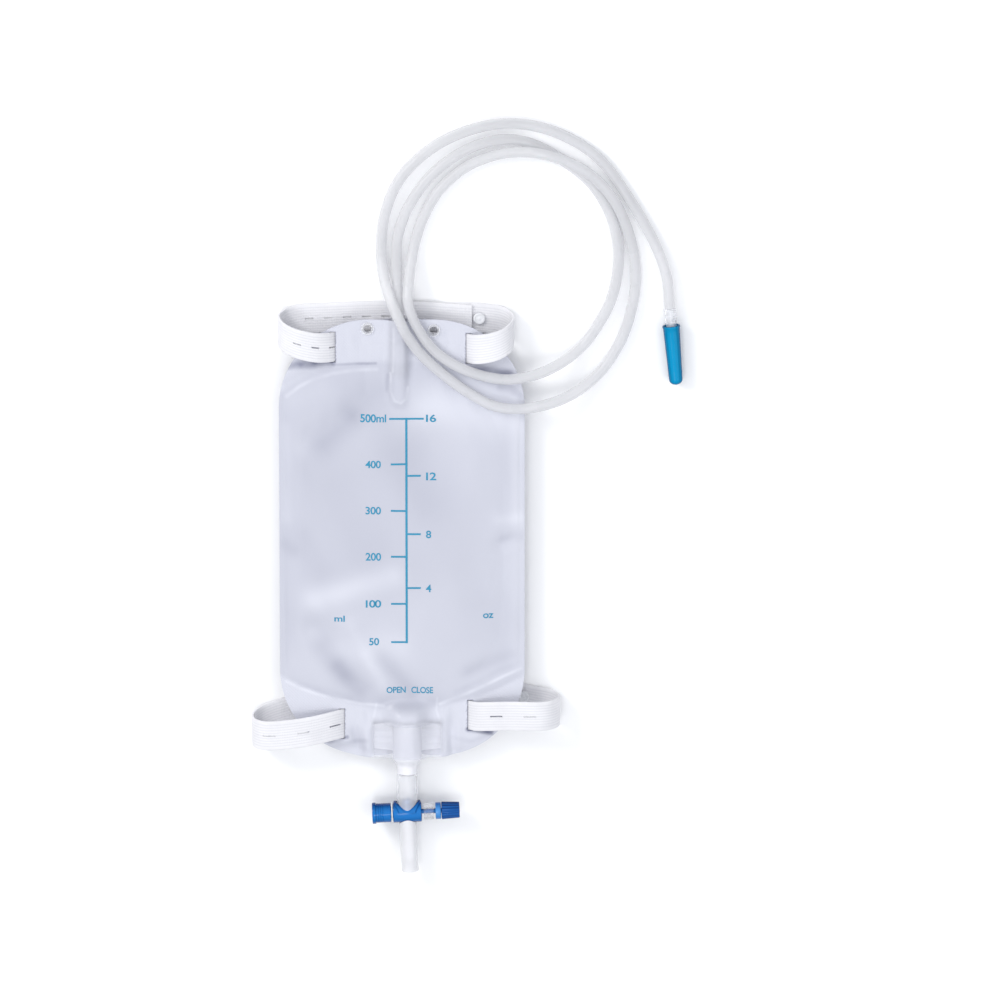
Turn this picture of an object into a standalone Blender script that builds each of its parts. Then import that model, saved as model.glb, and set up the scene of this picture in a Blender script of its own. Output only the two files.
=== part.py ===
# Leg drainage bag, lying on its back on a table.
# Metres, +X to the right of the print, +Y toward the inlet, +Z up out of the print.
# Every piece is placed from the middle of the film pocket, which the frame empty carries.

import math

import bmesh
import bpy
from mathutils import Matrix, Vector

# Where the middle of the pocket stands from the part's origin
BAG_X = -0.002
BAG_Y = 0.029

# Gap that touching pieces keep
GAP = 0.0003

# Broken edges of the moulded pieces
EDGE = 0.0003
FINE_EDGE = 0.0002

# Film pocket
FILM = 0.00035
BAG_WIDTH = 0.135
BAG_LENGTH = 0.248
CORNER_RADIUS = 0.050
WELD_GAP = 0.0003
SIDE_WELD = 0.003
TOP_WELD = 0.0242
BOTTOM_WELD = 0.0287
TOP_SHOULDER = 0.0185
BOTTOM_SHOULDER = 0.0190
FRONT_FILL = 0.0062
BELLY_HEIGHT = 0.0006
RIPPLE = 0.0004

# Elastic straps and the slots that they pass through
STRAP_WIDTH = 0.0165
STRAP_THICKNESS = 0.0012
SLOT_PLAY = 0.0020
SLOT_WIDTH = 0.0042
# Each slot: how far it stands in from the film's side, and from its top or bottom end
UPPER_SLOT_LEFT = (BAG_WIDTH / -2 + 0.0301, BAG_LENGTH / 2 - 0.0154)
UPPER_SLOT_RIGHT = (BAG_WIDTH / 2 - 0.0312, BAG_LENGTH / 2 - 0.0163)
LOWER_SLOT_LEFT = (BAG_WIDTH / -2 + 0.0345, BAG_LENGTH / -2 + 0.0188)
LOWER_SLOT_RIGHT = (BAG_WIDTH / 2 - 0.0304, BAG_LENGTH / -2 + 0.0236)
UPPER_SLIT_LENGTH = 0.0046
UPPER_SLIT_PITCH = 0.0105
LOWER_SLIT_LENGTH = 0.0070
LOWER_SLIT_PITCH = 0.0187
SLIT_WIDTH = 0.0009
# Rows of slits: first and last, as distances along the band
UPPER_SLIT_ROWS = ((0.0475, 0.0895), (0.1275, 0.1485))
LOWER_SLIT_ROWS = ((0.0950, 0.1137), (0.1700, 0.2074), (0.3050, 0.3237))
STRAP_SLACK = 0.0002
SLOT_RUN = 0.0030
SLOT_DIP = 0.0022
BUTTON_RADIUS = 0.0033
BUTTON_HEIGHT = 0.0014

# Hanging eyelets
EYELET_BORE = 0.0021
EYELET_WALL = 0.0006
EYELET_FLANGE = 0.0037
EYELET_LIP = 0.0005
EYELET_LEFT = (-0.0187, BAG_LENGTH / 2 - 0.0050)
EYELET_RIGHT = (0.0176, BAG_LENGTH / 2 - 0.0060)

# Inlet side
TUBE_RADIUS = 0.00295
INLET_X = -0.00165
INLET_WALL = 0.0006
INLET_LENGTH = 0.0345
INLET_STAND_OUT = 0.0020
INLET_NOSE_HOLE = 0.0016
VALVE_FILM = 0.0003
VALVE_WIDTH = 0.030
VALVE_TOP = BAG_LENGTH / 2 - 0.014
VALVE_LENGTH = 0.030
VALVE_MOUTH = 0.0007

# Outlet port and the clear tube below it
OUTLET_X = 0.0026
PORT_RADIUS = 0.0080
PORT_WALL = 0.0014
PORT_RIM_Y = BAG_LENGTH / -2 + 0.0202
PORT_WIDE_LENGTH = 0.0204
PORT_TAPER = 0.0051
PORT_NECK_LENGTH = 0.0042
WING_SPAN = 0.0400
WING_LENGTH = 0.0164
WING_ROOT = 0.0011
WING_TIP = 0.00025
CLEAR_RADIUS = 0.0056
CLEAR_WALL = 0.0013
CLEAR_SPIGOT = 0.0050
CLEAR_SPIGOT_WALL = 0.0009

# Push tap: barrel across the flow, spool inside it
TAP_AXIS_Y = BAG_LENGTH / -2 - 0.0319
TAP_ANGLE = math.radians(2.5)
BARREL_RADIUS = 0.0057
BARREL_BORE = 0.00495
BARREL_LENGTH = 0.0157
SADDLE_RISE = 0.0008
SADDLE_RIM = 0.0011
CHANNEL_RADIUS = 0.0021
SPIGOT_WALL = 0.0009
SPIGOT_LENGTH = 0.0016
SPOOL_PLAY = 0.00035
SPOOL_STEM = 0.0014
LAND_END = 0.0052
SEAL_SECTION = 0.0008
NECK_RADIUS = 0.00135
WASHER = 0.0006
HEAD_RADIUS = 0.00535
HEAD_LENGTH = 0.0082
FLANGE_RADIUS = 0.0059
FLANGE_LENGTH = 0.0022
FINGER_RECESS = 0.0030
SLEEVE_START = 0.0012
SLEEVE_LENGTH = 0.0056
COLLAR_RADIUS = 0.0047
COLLAR_LENGTH = 0.0030
PLUNGER_STROKE = 0.0073
STROKE_SPARE = 0.00045
KNOB_ROOT = 0.0049
KNOB_TIP = 0.00445
KNOB_LENGTH = 0.0100
KNOB_RIBS = 16
KNOB_RIB_DEPTH = 0.00035

# Drain nozzle
NOZZLE_RADIUS = 0.0047
NOZZLE_BORE = 0.0033
NOZZLE_END = 0.0339

# Connector and cap at the far end of the tubing
CONNECTOR_COLLAR = 0.0033
CONNECTOR_COLLAR_LENGTH = 0.0090
CONNECTOR_BORE = 0.0015
CONNECTOR_TAPER_LENGTH = 0.0190
CONNECTOR_ROOT = 0.0029
CONNECTOR_TIP = 0.0021
CAP_MOUTH = 0.00485
CAP_END = 0.00375
CAP_LENGTH = 0.0335
CAP_WALL = 0.0010
CAP_RIM = 0.0011
CAP_ANGLE = math.radians(5.0)
CAP_STAND_OFF = 0.0008

# Printed scale: heights of its ticks along the pocket
PRINT_THICKNESS = 0.00015
PRINT_LIFT = 0.00035
SCALE_X = 0.0025
SCALE_LINE = 0.0012
LEFT_TICK = 0.0080
RIGHT_TICK = 0.0072
TOP_TICK = 0.0090
LEFT_TICKS_Y = (0.0680, 0.0423, 0.0161, -0.0097, -0.0366, -0.0584)
RIGHT_TICKS_Y = (0.0680, 0.0357, 0.0031, -0.0275)

# Route of the tubing, from inside the inlet port to the connector.
# Heights are above the table; the rest is from the middle of the film's top end.
PATH = [
    (-0.00165, -0.0116, 0.0106), (-0.00165, -0.0040, 0.0106), (-0.00165, 0.0035, 0.0106),
    (-0.0020, 0.0130, 0.0090), (-0.0027, 0.0230, 0.0058), (-0.0029, 0.0340, 0.0034),
    (-0.0019, 0.0459, 0.0031), (0.0036, 0.0612, 0.0031), (0.0154, 0.0782, 0.0031),
    (0.0330, 0.0921, 0.0031), (0.0523, 0.0989, 0.0031), (0.0693, 0.0975, 0.0031),
    (0.0869, 0.0884, 0.0031), (0.1045, 0.0740, 0.0031), (0.1155, 0.0539, 0.0031),
    (0.1188, 0.0323, 0.0031), (0.1149, 0.0096, 0.0031), (0.1042, -0.0102, 0.0031),
    (0.0957, -0.0195, 0.0046), (0.0869, -0.0254, 0.0082), (0.0776, -0.0292, 0.0122),
    (0.0677, -0.0317, 0.0146), (0.0556, -0.0327, 0.0151), (0.0407, -0.0294, 0.0160),
    (0.0270, -0.0233, 0.0154), (0.0165, -0.0149, 0.0149), (0.0091, -0.0043, 0.0152),
    (0.0047, 0.0052, 0.0150), (0.0034, 0.0131, 0.0132), (0.0040, 0.0213, 0.0097),
    (0.0052, 0.0316, 0.0054), (0.0072, 0.0414, 0.0032), (0.0116, 0.0550, 0.0031),
    (0.0204, 0.0706, 0.0031), (0.0341, 0.0831, 0.0032), (0.0484, 0.0899, 0.0046),
    (0.0622, 0.0930, 0.0070), (0.0748, 0.0928, 0.0094), (0.0880, 0.0893, 0.0100),
    (0.1012, 0.0824, 0.0098), (0.1116, 0.0725, 0.0080), (0.1194, 0.0598, 0.0052),
    (0.1254, 0.0431, 0.0033), (0.1282, 0.0255, 0.0031), (0.1268, 0.0079, 0.0031),
    (0.1205, -0.0130, 0.0031), (0.1095, -0.0305, 0.0034), (0.0979, -0.0403, 0.0062),
    (0.0874, -0.0452, 0.0104), (0.0770, -0.0477, 0.0142), (0.0649, -0.0492, 0.0156),
    (0.0501, -0.0470, 0.0171), (0.0347, -0.0383, 0.0176), (0.0209, -0.0279, 0.0168),
    (0.0102, -0.0176, 0.0172), (0.0027, -0.0067, 0.0190), (-0.0014, 0.0019, 0.0190),
    (-0.0050, 0.0097, 0.0166), (-0.0082, 0.0181, 0.0116), (-0.0104, 0.0272, 0.0064),
    (-0.0112, 0.0380, 0.0034), (-0.0096, 0.0550, 0.0031), (-0.0033, 0.0729, 0.0031),
    (0.0077, 0.0870, 0.0031), (0.0253, 0.0995, 0.0031), (0.0484, 0.1072, 0.0031),
    (0.0704, 0.1072, 0.0031), (0.0913, 0.1001, 0.0031), (0.1095, 0.0870, 0.0031),
    (0.1251, 0.0652, 0.0031), (0.1359, 0.0465, 0.0036), (0.1422, 0.0325, 0.0047),
    (0.1456, 0.0202, 0.0051), (0.1469, 0.0052, 0.0051),
]
ROUTE_SPACING = 0.0148
ROUTE = [(x, y + BAG_LENGTH / 2, z) for x, y, z in PATH]

# How far the film leans out beside a port, against how high it stands over it
TENT_SPREAD = 1.15

# Sizes that follow from the ones above
INLET_RADIUS = TUBE_RADIUS + GAP + INLET_WALL
VALVE_RADIUS = INLET_RADIUS + GAP + VALVE_FILM
INLET_TENT = VALVE_RADIUS + GAP
OUTLET_TENT = PORT_RADIUS + GAP
FILM_BACK = WELD_GAP / 2 + OUTLET_TENT + FILM
# The middle plane stands as high as the port, the film and one strap below it need
MID = FILM_BACK + GAP + STRAP_THICKNESS + GAP
BACK_FILL = MID - BELLY_HEIGHT - FILM - WELD_GAP / 2 - RIPPLE
HALF_WIDTH = BAG_WIDTH / 2
HALF_LENGTH = BAG_LENGTH / 2
EYELET_STACK = WELD_GAP / 2 + FILM + 1.5 * GAP
CLEAR_BORE = CLEAR_RADIUS - CLEAR_WALL
TAP_SPIGOT = CHANNEL_RADIUS + SPIGOT_WALL
LAND_RADIUS = BARREL_BORE - SPOOL_PLAY
SEAL_RING = BARREL_BORE - GAP - SEAL_SECTION
GROOVE_FLOOR = SEAL_RING - SEAL_SECTION - GAP
GROOVE_WIDTH = 2 * (SEAL_SECTION + GAP)


def clear_scene():
    for old in list(bpy.data.objects):
        bpy.data.objects.remove(old, do_unlink=True)


def plastic(name, colour, roughness, see_through=0.0, alpha=1.0):
    material = bpy.data.materials.new(name)
    material.use_nodes = True
    shader = material.node_tree.nodes["Principled BSDF"]
    shader.inputs["Base Color"].default_value = (*colour, 1.0)
    shader.inputs["Roughness"].default_value = roughness
    shader.inputs["Metallic"].default_value = 0.0
    shader.inputs["Transmission Weight"].default_value = see_through
    shader.inputs["Alpha"].default_value = alpha
    return material


def make_object(name, bm, material, parent, smooth=True):
    bmesh.ops.recalc_face_normals(bm, faces=bm.faces)
    mesh = bpy.data.meshes.new(name)
    bm.to_mesh(mesh)
    bm.free()
    if smooth:
        mesh.shade_smooth()
        mesh.set_sharp_from_angle(angle=math.radians(35))
    mesh.materials.append(material)
    piece = bpy.data.objects.new(name, mesh)
    bpy.context.collection.objects.link(piece)
    piece.parent = parent
    return piece


def make_empty(name, location, parent=None, angle=0.0):
    empty = bpy.data.objects.new(name, None)
    empty.location = location
    empty.rotation_euler = (0.0, 0.0, angle)
    bpy.context.collection.objects.link(empty)
    empty.parent = parent
    return empty


def boolean(piece, cutters, operation):
    # Cutters stay in the file as hidden wires, so that they can be edited
    for cutter in cutters:
        cutter.hide_render = True
        cutter.display_type = "WIRE"
        step = piece.modifiers.new(operation.lower(), "BOOLEAN")
        step.operation = operation
        step.solver = "EXACT"
        step.object = cutter


def arc(centre, radius, start, end, steps):
    # Points on an arc of a profile, in (along, radius) pairs
    angles = [start + (end - start) * i / steps for i in range(steps + 1)]
    return [(centre[0] + radius * math.cos(a), centre[1] + radius * math.sin(a)) for a in angles]


def turned_mesh(profile, segments, axis):
    # A closed profile of (along, radius) points, turned about the X or the Y axis
    bm = bmesh.new()
    rings = []
    for along, radius in profile:
        if radius < 1e-7:
            place = (along, 0, 0) if axis == "X" else (0, along, 0)
            rings.append([bm.verts.new(place)])
            continue
        ring = []
        for i in range(segments):
            a = 2 * math.pi * i / segments
            u = radius * math.cos(a)
            v = radius * math.sin(a)
            ring.append(bm.verts.new((along, u, v) if axis == "X" else (u, along, v)))
        rings.append(ring)
    for first, second in zip(rings, rings[1:] + rings[:1]):
        if len(first) == 1 and len(second) == 1:
            continue
        for i in range(segments):
            j = (i + 1) % segments
            corners = [first[i % len(first)], first[j % len(first)]]
            corners += [second[j % len(second)], second[i % len(second)]]
            face = list(dict.fromkeys(corners))
            bm.faces.new(face)
    return bm


def turned(name, profile, segments, axis, location, material, parent):
    piece = make_object(name, turned_mesh(profile, segments, axis), material, parent)
    piece.location = location
    return piece


def cutter_box(name, size, location, parent, rotation=(0.0, 0.0, 0.0)):
    bm = bmesh.new()
    bmesh.ops.create_cube(bm, size=1.0, matrix=Matrix.Diagonal((*size, 1.0)))
    piece = make_object(name, bm, GUIDE, parent, smooth=False)
    piece.location = location
    piece.rotation_euler = rotation
    return piece


def cutter_rod(name, radius, start, end, axis, location, parent, segments=24):
    profile = [(start, 0.0), (start, radius), (end, radius), (end, 0.0)]
    return turned(name, profile, segments, axis, location, GUIDE, parent)


def smooth_route(points, steps):
    # Catmull-Rom curve through every point
    ends = [points[0]] + list(points) + [points[-1]]
    curve = []
    for a, b, c, d in zip(ends, ends[1:], ends[2:], ends[3:]):
        a, b, c, d = Vector(a), Vector(b), Vector(c), Vector(d)
        for i in range(steps):
            t = i / steps
            bend = (2 * a - 5 * b + 4 * c - d) * t * t + (3 * b - a - 3 * c + d) * t ** 3
            curve.append((2 * b + (c - a) * t + bend) / 2)
    curve.append(Vector(points[-1]))
    return curve


def evenly(points, spacing):
    # The same curve, with points an even distance apart
    lengths = [0.0]
    for a, b in zip(points, points[1:]):
        lengths.append(lengths[-1] + (b - a).length)
    count = max(2, round(lengths[-1] / spacing))
    result = []
    k = 0
    for i in range(count + 1):
        goal = lengths[-1] * i / count
        while k < len(points) - 2 and lengths[k + 1] < goal:
            k += 1
        share = (goal - lengths[k]) / (lengths[k + 1] - lengths[k])
        result.append(points[k].lerp(points[k + 1], min(max(share, 0.0), 1.0)))
    return result


# Form of the film pocket

def half_width(y):
    rise = abs(y) - (HALF_LENGTH - CORNER_RADIUS)
    if rise <= 0:
        return HALF_WIDTH
    reach = CORNER_RADIUS ** 2 - min(rise, CORNER_RADIUS) ** 2
    return HALF_WIDTH - CORNER_RADIUS + math.sqrt(max(reach, 0.0))


def pillow(x, y):
    # 0 on the chamber's weld line, 1 in its middle
    across = abs(x) / (HALF_WIDTH - SIDE_WELD)
    side = min(abs(x) / HALF_WIDTH, 1.0)
    top = HALF_LENGTH - TOP_WELD - TOP_SHOULDER * side ** 3
    bottom = BOTTOM_WELD - HALF_LENGTH + BOTTOM_SHOULDER * side ** 2.2
    along = (2 * y - top - bottom) / (top - bottom)
    if across >= 1 or abs(along) >= 1:
        return 0.0
    return (1 - across ** 2.5) ** 0.6 * (1 - along ** 4) ** 0.7


def tent(distance, height, reach):
    # The film's rise over a tube that it is welded round
    return height / (1 + (distance / reach) ** 4)


def fade(value, start, end):
    t = min(max((value - start) / (end - start), 0.0), 1.0)
    return t * t * (3 - 2 * t)


def port_lift(x, y):
    rise = INLET_RADIUS + GAP
    rise += (INLET_TENT - rise) * (1 - fade(y, VALVE_TOP + 0.001, VALVE_TOP + 0.004))
    inlet = tent(x - INLET_X, rise, TENT_SPREAD * INLET_TENT)
    beside = 1 - fade(abs(x - INLET_X), VALVE_WIDTH / 2 + 0.001, VALVE_WIDTH / 2 + 0.006)
    beside *= 1 - fade(y, VALVE_TOP, VALVE_TOP + 0.004)
    inlet = max(inlet, (VALVE_MOUTH / 2 + 2 * GAP) * beside)
    inlet *= fade(y, VALVE_TOP - VALVE_LENGTH - 0.012, VALVE_TOP - VALVE_LENGTH)
    outlet = tent(x - OUTLET_X, OUTLET_TENT, TENT_SPREAD * OUTLET_TENT)
    beside = 1 - fade(abs(x - OUTLET_X), WING_SPAN / 2 + 0.001, WING_SPAN / 2 + 0.006)
    outlet = max(outlet, (WING_ROOT + GAP) * beside)
    outlet *= fade(-y, -PORT_RIM_Y - 0.014, -PORT_RIM_Y - 0.003)
    return inlet + outlet


def ripple(x, y):
    # Broad slanting waves of a slack film
    wave = math.sin(95 * x + 60 * y) + 0.7 * math.sin(-70 * x + 85 * y + 1.3)
    return RIPPLE * 0.6 * wave


def film_inside(x, y, fill):
    # Height of a film's inner face from the middle plane
    chamber = pillow(x, y)
    puff = fill * chamber + ripple(x, y) * chamber
    lift = port_lift(x, y)
    return WELD_GAP / 2 + (max(puff, 0.0) ** 4 + lift ** 4) ** 0.25


def film_rows():
    # Closer rows round the corners, where the outline turns
    turn = [i / 8 * math.pi / 2 for i in range(8, -1, -1)]
    straight = HALF_LENGTH - CORNER_RADIUS
    top = [straight + CORNER_RADIUS * math.sin(a) for a in turn]
    middle = [straight - 2 * straight * i / 8 for i in range(1, 8)]
    return top + middle + [-y for y in reversed(top)]


COLUMNS = (0.0, 0.045, 0.09, 0.14, 0.20, 0.30, 0.45, 0.62, 0.78, 0.90, 0.96, 1.0)


def film(name, side, fill, material, parent):
    bm = bmesh.new()
    shares = [-c for c in reversed(COLUMNS[1:])] + list(COLUMNS)
    layers = []
    for offset in (0.0, FILM):
        grid = []
        for y in film_rows():
            row = []
            for share in shares:
                x = share * half_width(y)
                row.append(bm.verts.new((x, y, side * (film_inside(x, y, fill) + offset))))
            grid.append(row)
        layers.append(grid)
    for grid in layers:
        for r in range(len(grid) - 1):
            for c in range(len(shares) - 1):
                bm.faces.new((grid[r][c], grid[r][c + 1], grid[r + 1][c + 1], grid[r + 1][c]))
    inner, outer = [rim_of(grid) for grid in layers]
    for i in range(len(inner)):
        j = (i + 1) % len(inner)
        bm.faces.new((inner[i], inner[j], outer[j], outer[i]))
    piece = make_object(name, bm, material, parent)
    piece.location = (0.0, 0.0, MID)
    boolean(piece, FILM_CUTTERS, "DIFFERENCE")
    return piece


def rim_of(grid):
    right = [row[-1] for row in grid[1:-1]]
    left = [row[0] for row in reversed(grid[1:-1])]
    return grid[0] + right + list(reversed(grid[-1])) + left


def slot_cutters(parent):
    cutters = []
    deep = 0.02
    slots = (UPPER_SLOT_LEFT, UPPER_SLOT_RIGHT, LOWER_SLOT_LEFT, LOWER_SLOT_RIGHT)
    for i, (x, y) in enumerate(slots):
        size = (SLOT_WIDTH, STRAP_WIDTH + SLOT_PLAY, deep)
        cutters.append(cutter_box(f"slot_cutter_{i}", size, (x, y, MID), parent))
    hole = EYELET_BORE + EYELET_WALL + GAP
    for i, (x, y) in enumerate((EYELET_LEFT, EYELET_RIGHT)):
        rod = cutter_rod(f"eyelet_cutter_{i}", hole, -deep / 2, deep / 2, "Y", (x, y, MID), parent, 12)
        rod.rotation_euler = (math.pi / 2, 0.0, 0.0)
        cutters.append(rod)
    return cutters


def eyelet(name, place, material, parent):
    # A rivet ring: barrel through both films, domed flange on each face
    stack = EYELET_STACK
    lip = EYELET_LIP
    barrel = EYELET_BORE + EYELET_WALL
    profile = [(-stack - lip, EYELET_BORE), (-stack - lip, EYELET_FLANGE - EDGE)]
    profile += [(-stack, EYELET_FLANGE), (-stack, barrel), (stack, barrel), (stack, EYELET_FLANGE)]
    profile += [(stack + lip, EYELET_FLANGE - EDGE), (stack + lip, EYELET_BORE)]
    piece = turned(name, profile, 16, "Y", (place[0], place[1], MID), material, parent)
    piece.rotation_euler = (math.pi / 2, 0.0, 0.0)
    return piece


def scale_print(material, parent):
    # One field of ink: the upright line with its ticks, laid on the front film
    rows = set()
    for y in LEFT_TICKS_Y + RIGHT_TICKS_Y:
        rows.update((round(y + SCALE_LINE / 2, 6), round(y - SCALE_LINE / 2, 6)))
    rows = sorted(rows, reverse=True)
    fine = []
    for high, low in zip(rows, rows[1:]):
        parts = max(1, math.ceil((high - low) / 0.010))
        fine += [high + (low - high) * i / parts for i in range(parts)]
    fine.append(rows[-1])
    left = SCALE_X - SCALE_LINE / 2
    right = SCALE_X + SCALE_LINE / 2
    bm = bmesh.new()
    seen = {}

    def vertex(x, y, up):
        key = (round(x, 6), round(y, 6), up)
        if key not in seen:
            high = MID + film_inside(x, y, FRONT_FILL) + FILM + PRINT_LIFT
            seen[key] = bm.verts.new((x, y, high + up * PRINT_THICKNESS))
        return seen[key]

    cells = []
    for high, low in zip(fine, fine[1:]):
        cells.append((left, right, high, low))
        middle = (high + low) / 2
        if any(abs(middle - y) < SCALE_LINE / 2 for y in LEFT_TICKS_Y):
            reach = LEFT_TICK
            cells.append((left - reach, left, high, low))
        if any(abs(middle - y) < SCALE_LINE / 2 for y in RIGHT_TICKS_Y):
            reach = TOP_TICK if middle > LEFT_TICKS_Y[0] - SCALE_LINE else RIGHT_TICK
            cells.append((right, right + reach, high, low))
    edges = {}
    for x0, x1, high, low in cells:
        corners = [(x0, high), (x1, high), (x1, low), (x0, low)]
        for up in (0, 1):
            bm.faces.new([vertex(x, y, up) for x, y in corners])
        for a, b in zip(corners, corners[1:] + corners[:1]):
            key = tuple(sorted((tuple(round(v, 6) for v in a), tuple(round(v, 6) for v in b))))
            edges[key] = edges.get(key, 0) + 1
    for (a, b), count in edges.items():
        if count == 1:
            bm.faces.new([vertex(*a, 0), vertex(*b, 0), vertex(*b, 1), vertex(*a, 1)])
    return make_object("volume_scale", bm, material, parent, smooth=False)


# Straps

def strap_solid(name, keys, slits, material, parent):
    # Elastic band swept along its path: width across the leg, thickness off the path
    path = evenly([lift_off(p) for p in smooth_route(keys, 8)], 0.0038)
    half = STRAP_THICKNESS / 2
    edge = STRAP_WIDTH / 2
    section = [(-edge, 0.0), (-edge + half, -half), (edge - half, -half)]
    section += [(-w, -t) for w, t in section]
    bm = bmesh.new()
    rings = []
    for i, point in enumerate(path):
        ahead = path[min(i + 1, len(path) - 1)] - path[max(i - 1, 0)]
        normal = Vector((-ahead.z, 0.0, ahead.x)).normalized()
        rings.append([bm.verts.new(point + Vector((0.0, w, 0.0)) + normal * t) for w, t in section])
    for first, second in zip(rings, rings[1:]):
        for i in range(len(section)):
            j = (i + 1) % len(section)
            bm.faces.new((first[i], first[j], second[j], second[i]))
    bm.faces.new(rings[0])
    bm.faces.new(rings[-1])
    piece = make_object(name, bm, material, parent)
    cutters = []
    long, pitch, rows = slits
    for start, end in rows:
        for i in range(1 + round((end - start) / pitch)):
            cutters.append(slit_cutter(f"{name}_slit_{len(cutters)}", path, start + i * pitch, long, parent))
    boolean(piece, cutters, "DIFFERENCE")
    return piece


def lift_off(point):
    # The elastic lies on the table and not in it
    return Vector((point.x, point.y, max(point.z, STRAP_THICKNESS / 2)))


def slit_cutter(name, path, distance, length, parent):
    # A buttonhole: a thin box through the band at a distance along it
    walked = 0.0
    for a, b in zip(path, path[1:]):
        step = (b - a).length
        if walked + step >= distance:
            break
        walked += step
    middle = a.lerp(b, (distance - walked) / step)
    slope = math.atan2(b.z - a.z, b.x - a.x)
    sway = math.atan2(b.y - a.y, math.hypot(b.x - a.x, b.z - a.z))
    box = cutter_box(name, (length, SLIT_WIDTH, STRAP_THICKNESS * 3), middle, parent)
    box.matrix_local = (Matrix.Translation(middle) @ Matrix.Rotation(-slope, 4, "Y")
                        @ Matrix.Rotation(sway, 4, "Z"))
    return box


def under_film(x, y):
    # Height of a strap's middle where it spans the film's back, clear of the eyelets too
    deepest = EYELET_STACK + EYELET_LIP
    for dx in (-0.007, -0.0035, 0.0, 0.0035, 0.007):
        for dy in (-STRAP_WIDTH / 2, 0.0, STRAP_WIDTH / 2):
            deepest = max(deepest, film_inside(x + dx, y + dy, BACK_FILL) + FILM)
    return MID - deepest - GAP - STRAP_THICKNESS / 2 - STRAP_SLACK


def back_run(left, right):
    # From the left slot, behind the film and under the port, to the right slot
    inset = SLOT_WIDTH / 2
    start = left[0] + inset + SLOT_RUN
    end = right[0] - inset - SLOT_RUN
    count = 9
    points = [(left[0] + inset, left[1], MID - SLOT_DIP)]
    for i in range(count + 1):
        share = i / count
        x = start + (end - start) * share
        y = left[1] + (right[1] - left[1]) * share
        points.append((x, y, under_film(x, y)))
    points.append((right[0] - inset, right[1], MID - SLOT_DIP))
    return points


def upper_strap_path():
    lx, ly = UPPER_SLOT_LEFT
    rx, ry = UPPER_SLOT_RIGHT
    mx, my = (lx + rx) / 2, (ly + ry) / 2
    low = STRAP_THICKNESS / 2
    second = low + STRAP_THICKNESS + GAP
    points = [(rx + 0.0022, ry + 0.0143, second), (rx - 0.0103, ry + 0.0151, second)]
    points += [(rx - 0.0233, ry + 0.0161, second), (mx + 0.00405, my + 0.01565, second - 0.0004)]
    points += [(mx - 0.00545, my + 0.01565, low), (lx + 0.0174, ly + 0.015, low)]
    points += [(lx - 0.0026, ly + 0.0142, low), (lx - 0.0166, ly + 0.0136, low)]
    points += [(lx - 0.0251, ly + 0.012, low + 0.0014), (lx - 0.0291, ly + 0.0102, low + 0.0062)]
    points += [(lx - 0.0296, ly + 0.0089, low + 0.0115), (lx - 0.0266, ly + 0.0064, low + 0.0162)]
    points += [(lx - 0.0196, ly + 0.0034, MID + 0.0078), (lx - 0.0106, ly + 0.001, MID + 0.0062)]
    points += [(lx - 0.004, ly + 0.0002, MID + 0.0032), (lx, ly, MID)]
    points += back_run(UPPER_SLOT_LEFT, UPPER_SLOT_RIGHT)
    points += [(rx, ry, MID), (rx + 0.004, ry + 0.0002, MID + 0.0032)]
    points += [(rx + 0.011, ry + 0.0015, MID + 0.0060), (rx + 0.0182, ry + 0.0038, MID + 0.0062)]
    points += [(rx + 0.0232, ry + 0.0068, MID + 0.0030), (rx + 0.0249, ry + 0.0093, MID - 0.0025)]
    points += [(rx + 0.0227, ry + 0.0118, low + 0.0026), (rx + 0.0167, ry + 0.0138, low)]
    points += [(rx + 0.0037, ry + 0.0151, low), (rx - 0.0123, ry + 0.0151, low)]
    points += [(mx + 0.00955, my + 0.01465, low)]
    return points


def lower_strap_path():
    lx, ly = LOWER_SLOT_LEFT
    rx, ry = LOWER_SLOT_RIGHT
    mx, my = (lx + rx) / 2, (ly + ry) / 2
    low = STRAP_THICKNESS / 2
    second = low + STRAP_THICKNESS + GAP
    points = [(rx + 0.0249, ry + 0.0099, second), (rx + 0.0129, ry + 0.0126, second)]
    points += [(rx + 0.0029, ry + 0.0148, second), (rx - 0.0061, ry + 0.0166, second - 0.0004)]
    points += [(rx - 0.0151, ry + 0.0178, low), (mx + 0.00395, my + 0.0213, low)]
    points += [(lx + 0.018, ly + 0.0226, low), (lx - 0.005, ly + 0.0152, low)]
    points += [(lx - 0.025, ly + 0.0067, low), (lx - 0.039, ly + 0.0022, low + 0.0004)]
    points += [(lx - 0.046, ly - 0.0006, low + 0.0030), (lx - 0.0494, ly - 0.0026, low + 0.0085)]
    points += [(lx - 0.0485, ly - 0.004, low + 0.0150), (lx - 0.0425, ly - 0.0046, low + 0.0192)]
    points += [(lx - 0.032, ly - 0.004, MID + 0.0095), (lx - 0.019, ly - 0.0026, MID + 0.0078)]
    points += [(lx - 0.009, ly - 0.001, MID + 0.0052), (lx - 0.004, ly - 0.0002, MID + 0.0030)]
    points += [(lx, ly, MID)]
    points += back_run(LOWER_SLOT_LEFT, LOWER_SLOT_RIGHT)
    points += [(rx, ry, MID), (rx + 0.004, ry, MID + 0.0030)]
    points += [(rx + 0.0109, ry + 0.0008, MID + 0.0058), (rx + 0.0239, ry + 0.0016, MID + 0.0082)]
    points += [(rx + 0.0369, ry + 0.0018, MID + 0.0098), (rx + 0.0449, ry + 0.0019, MID + 0.0070)]
    points += [(rx + 0.0492, ry + 0.0024, MID + 0.0004), (rx + 0.0484, ry + 0.0036, low + 0.0046)]
    points += [(rx + 0.0429, ry + 0.0049, low + 0.0008), (rx + 0.0329, ry + 0.0066, low)]
    points += [(rx + 0.0189, ry + 0.0109, low), (rx - 0.0011, ry + 0.0154, low)]
    return points


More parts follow.
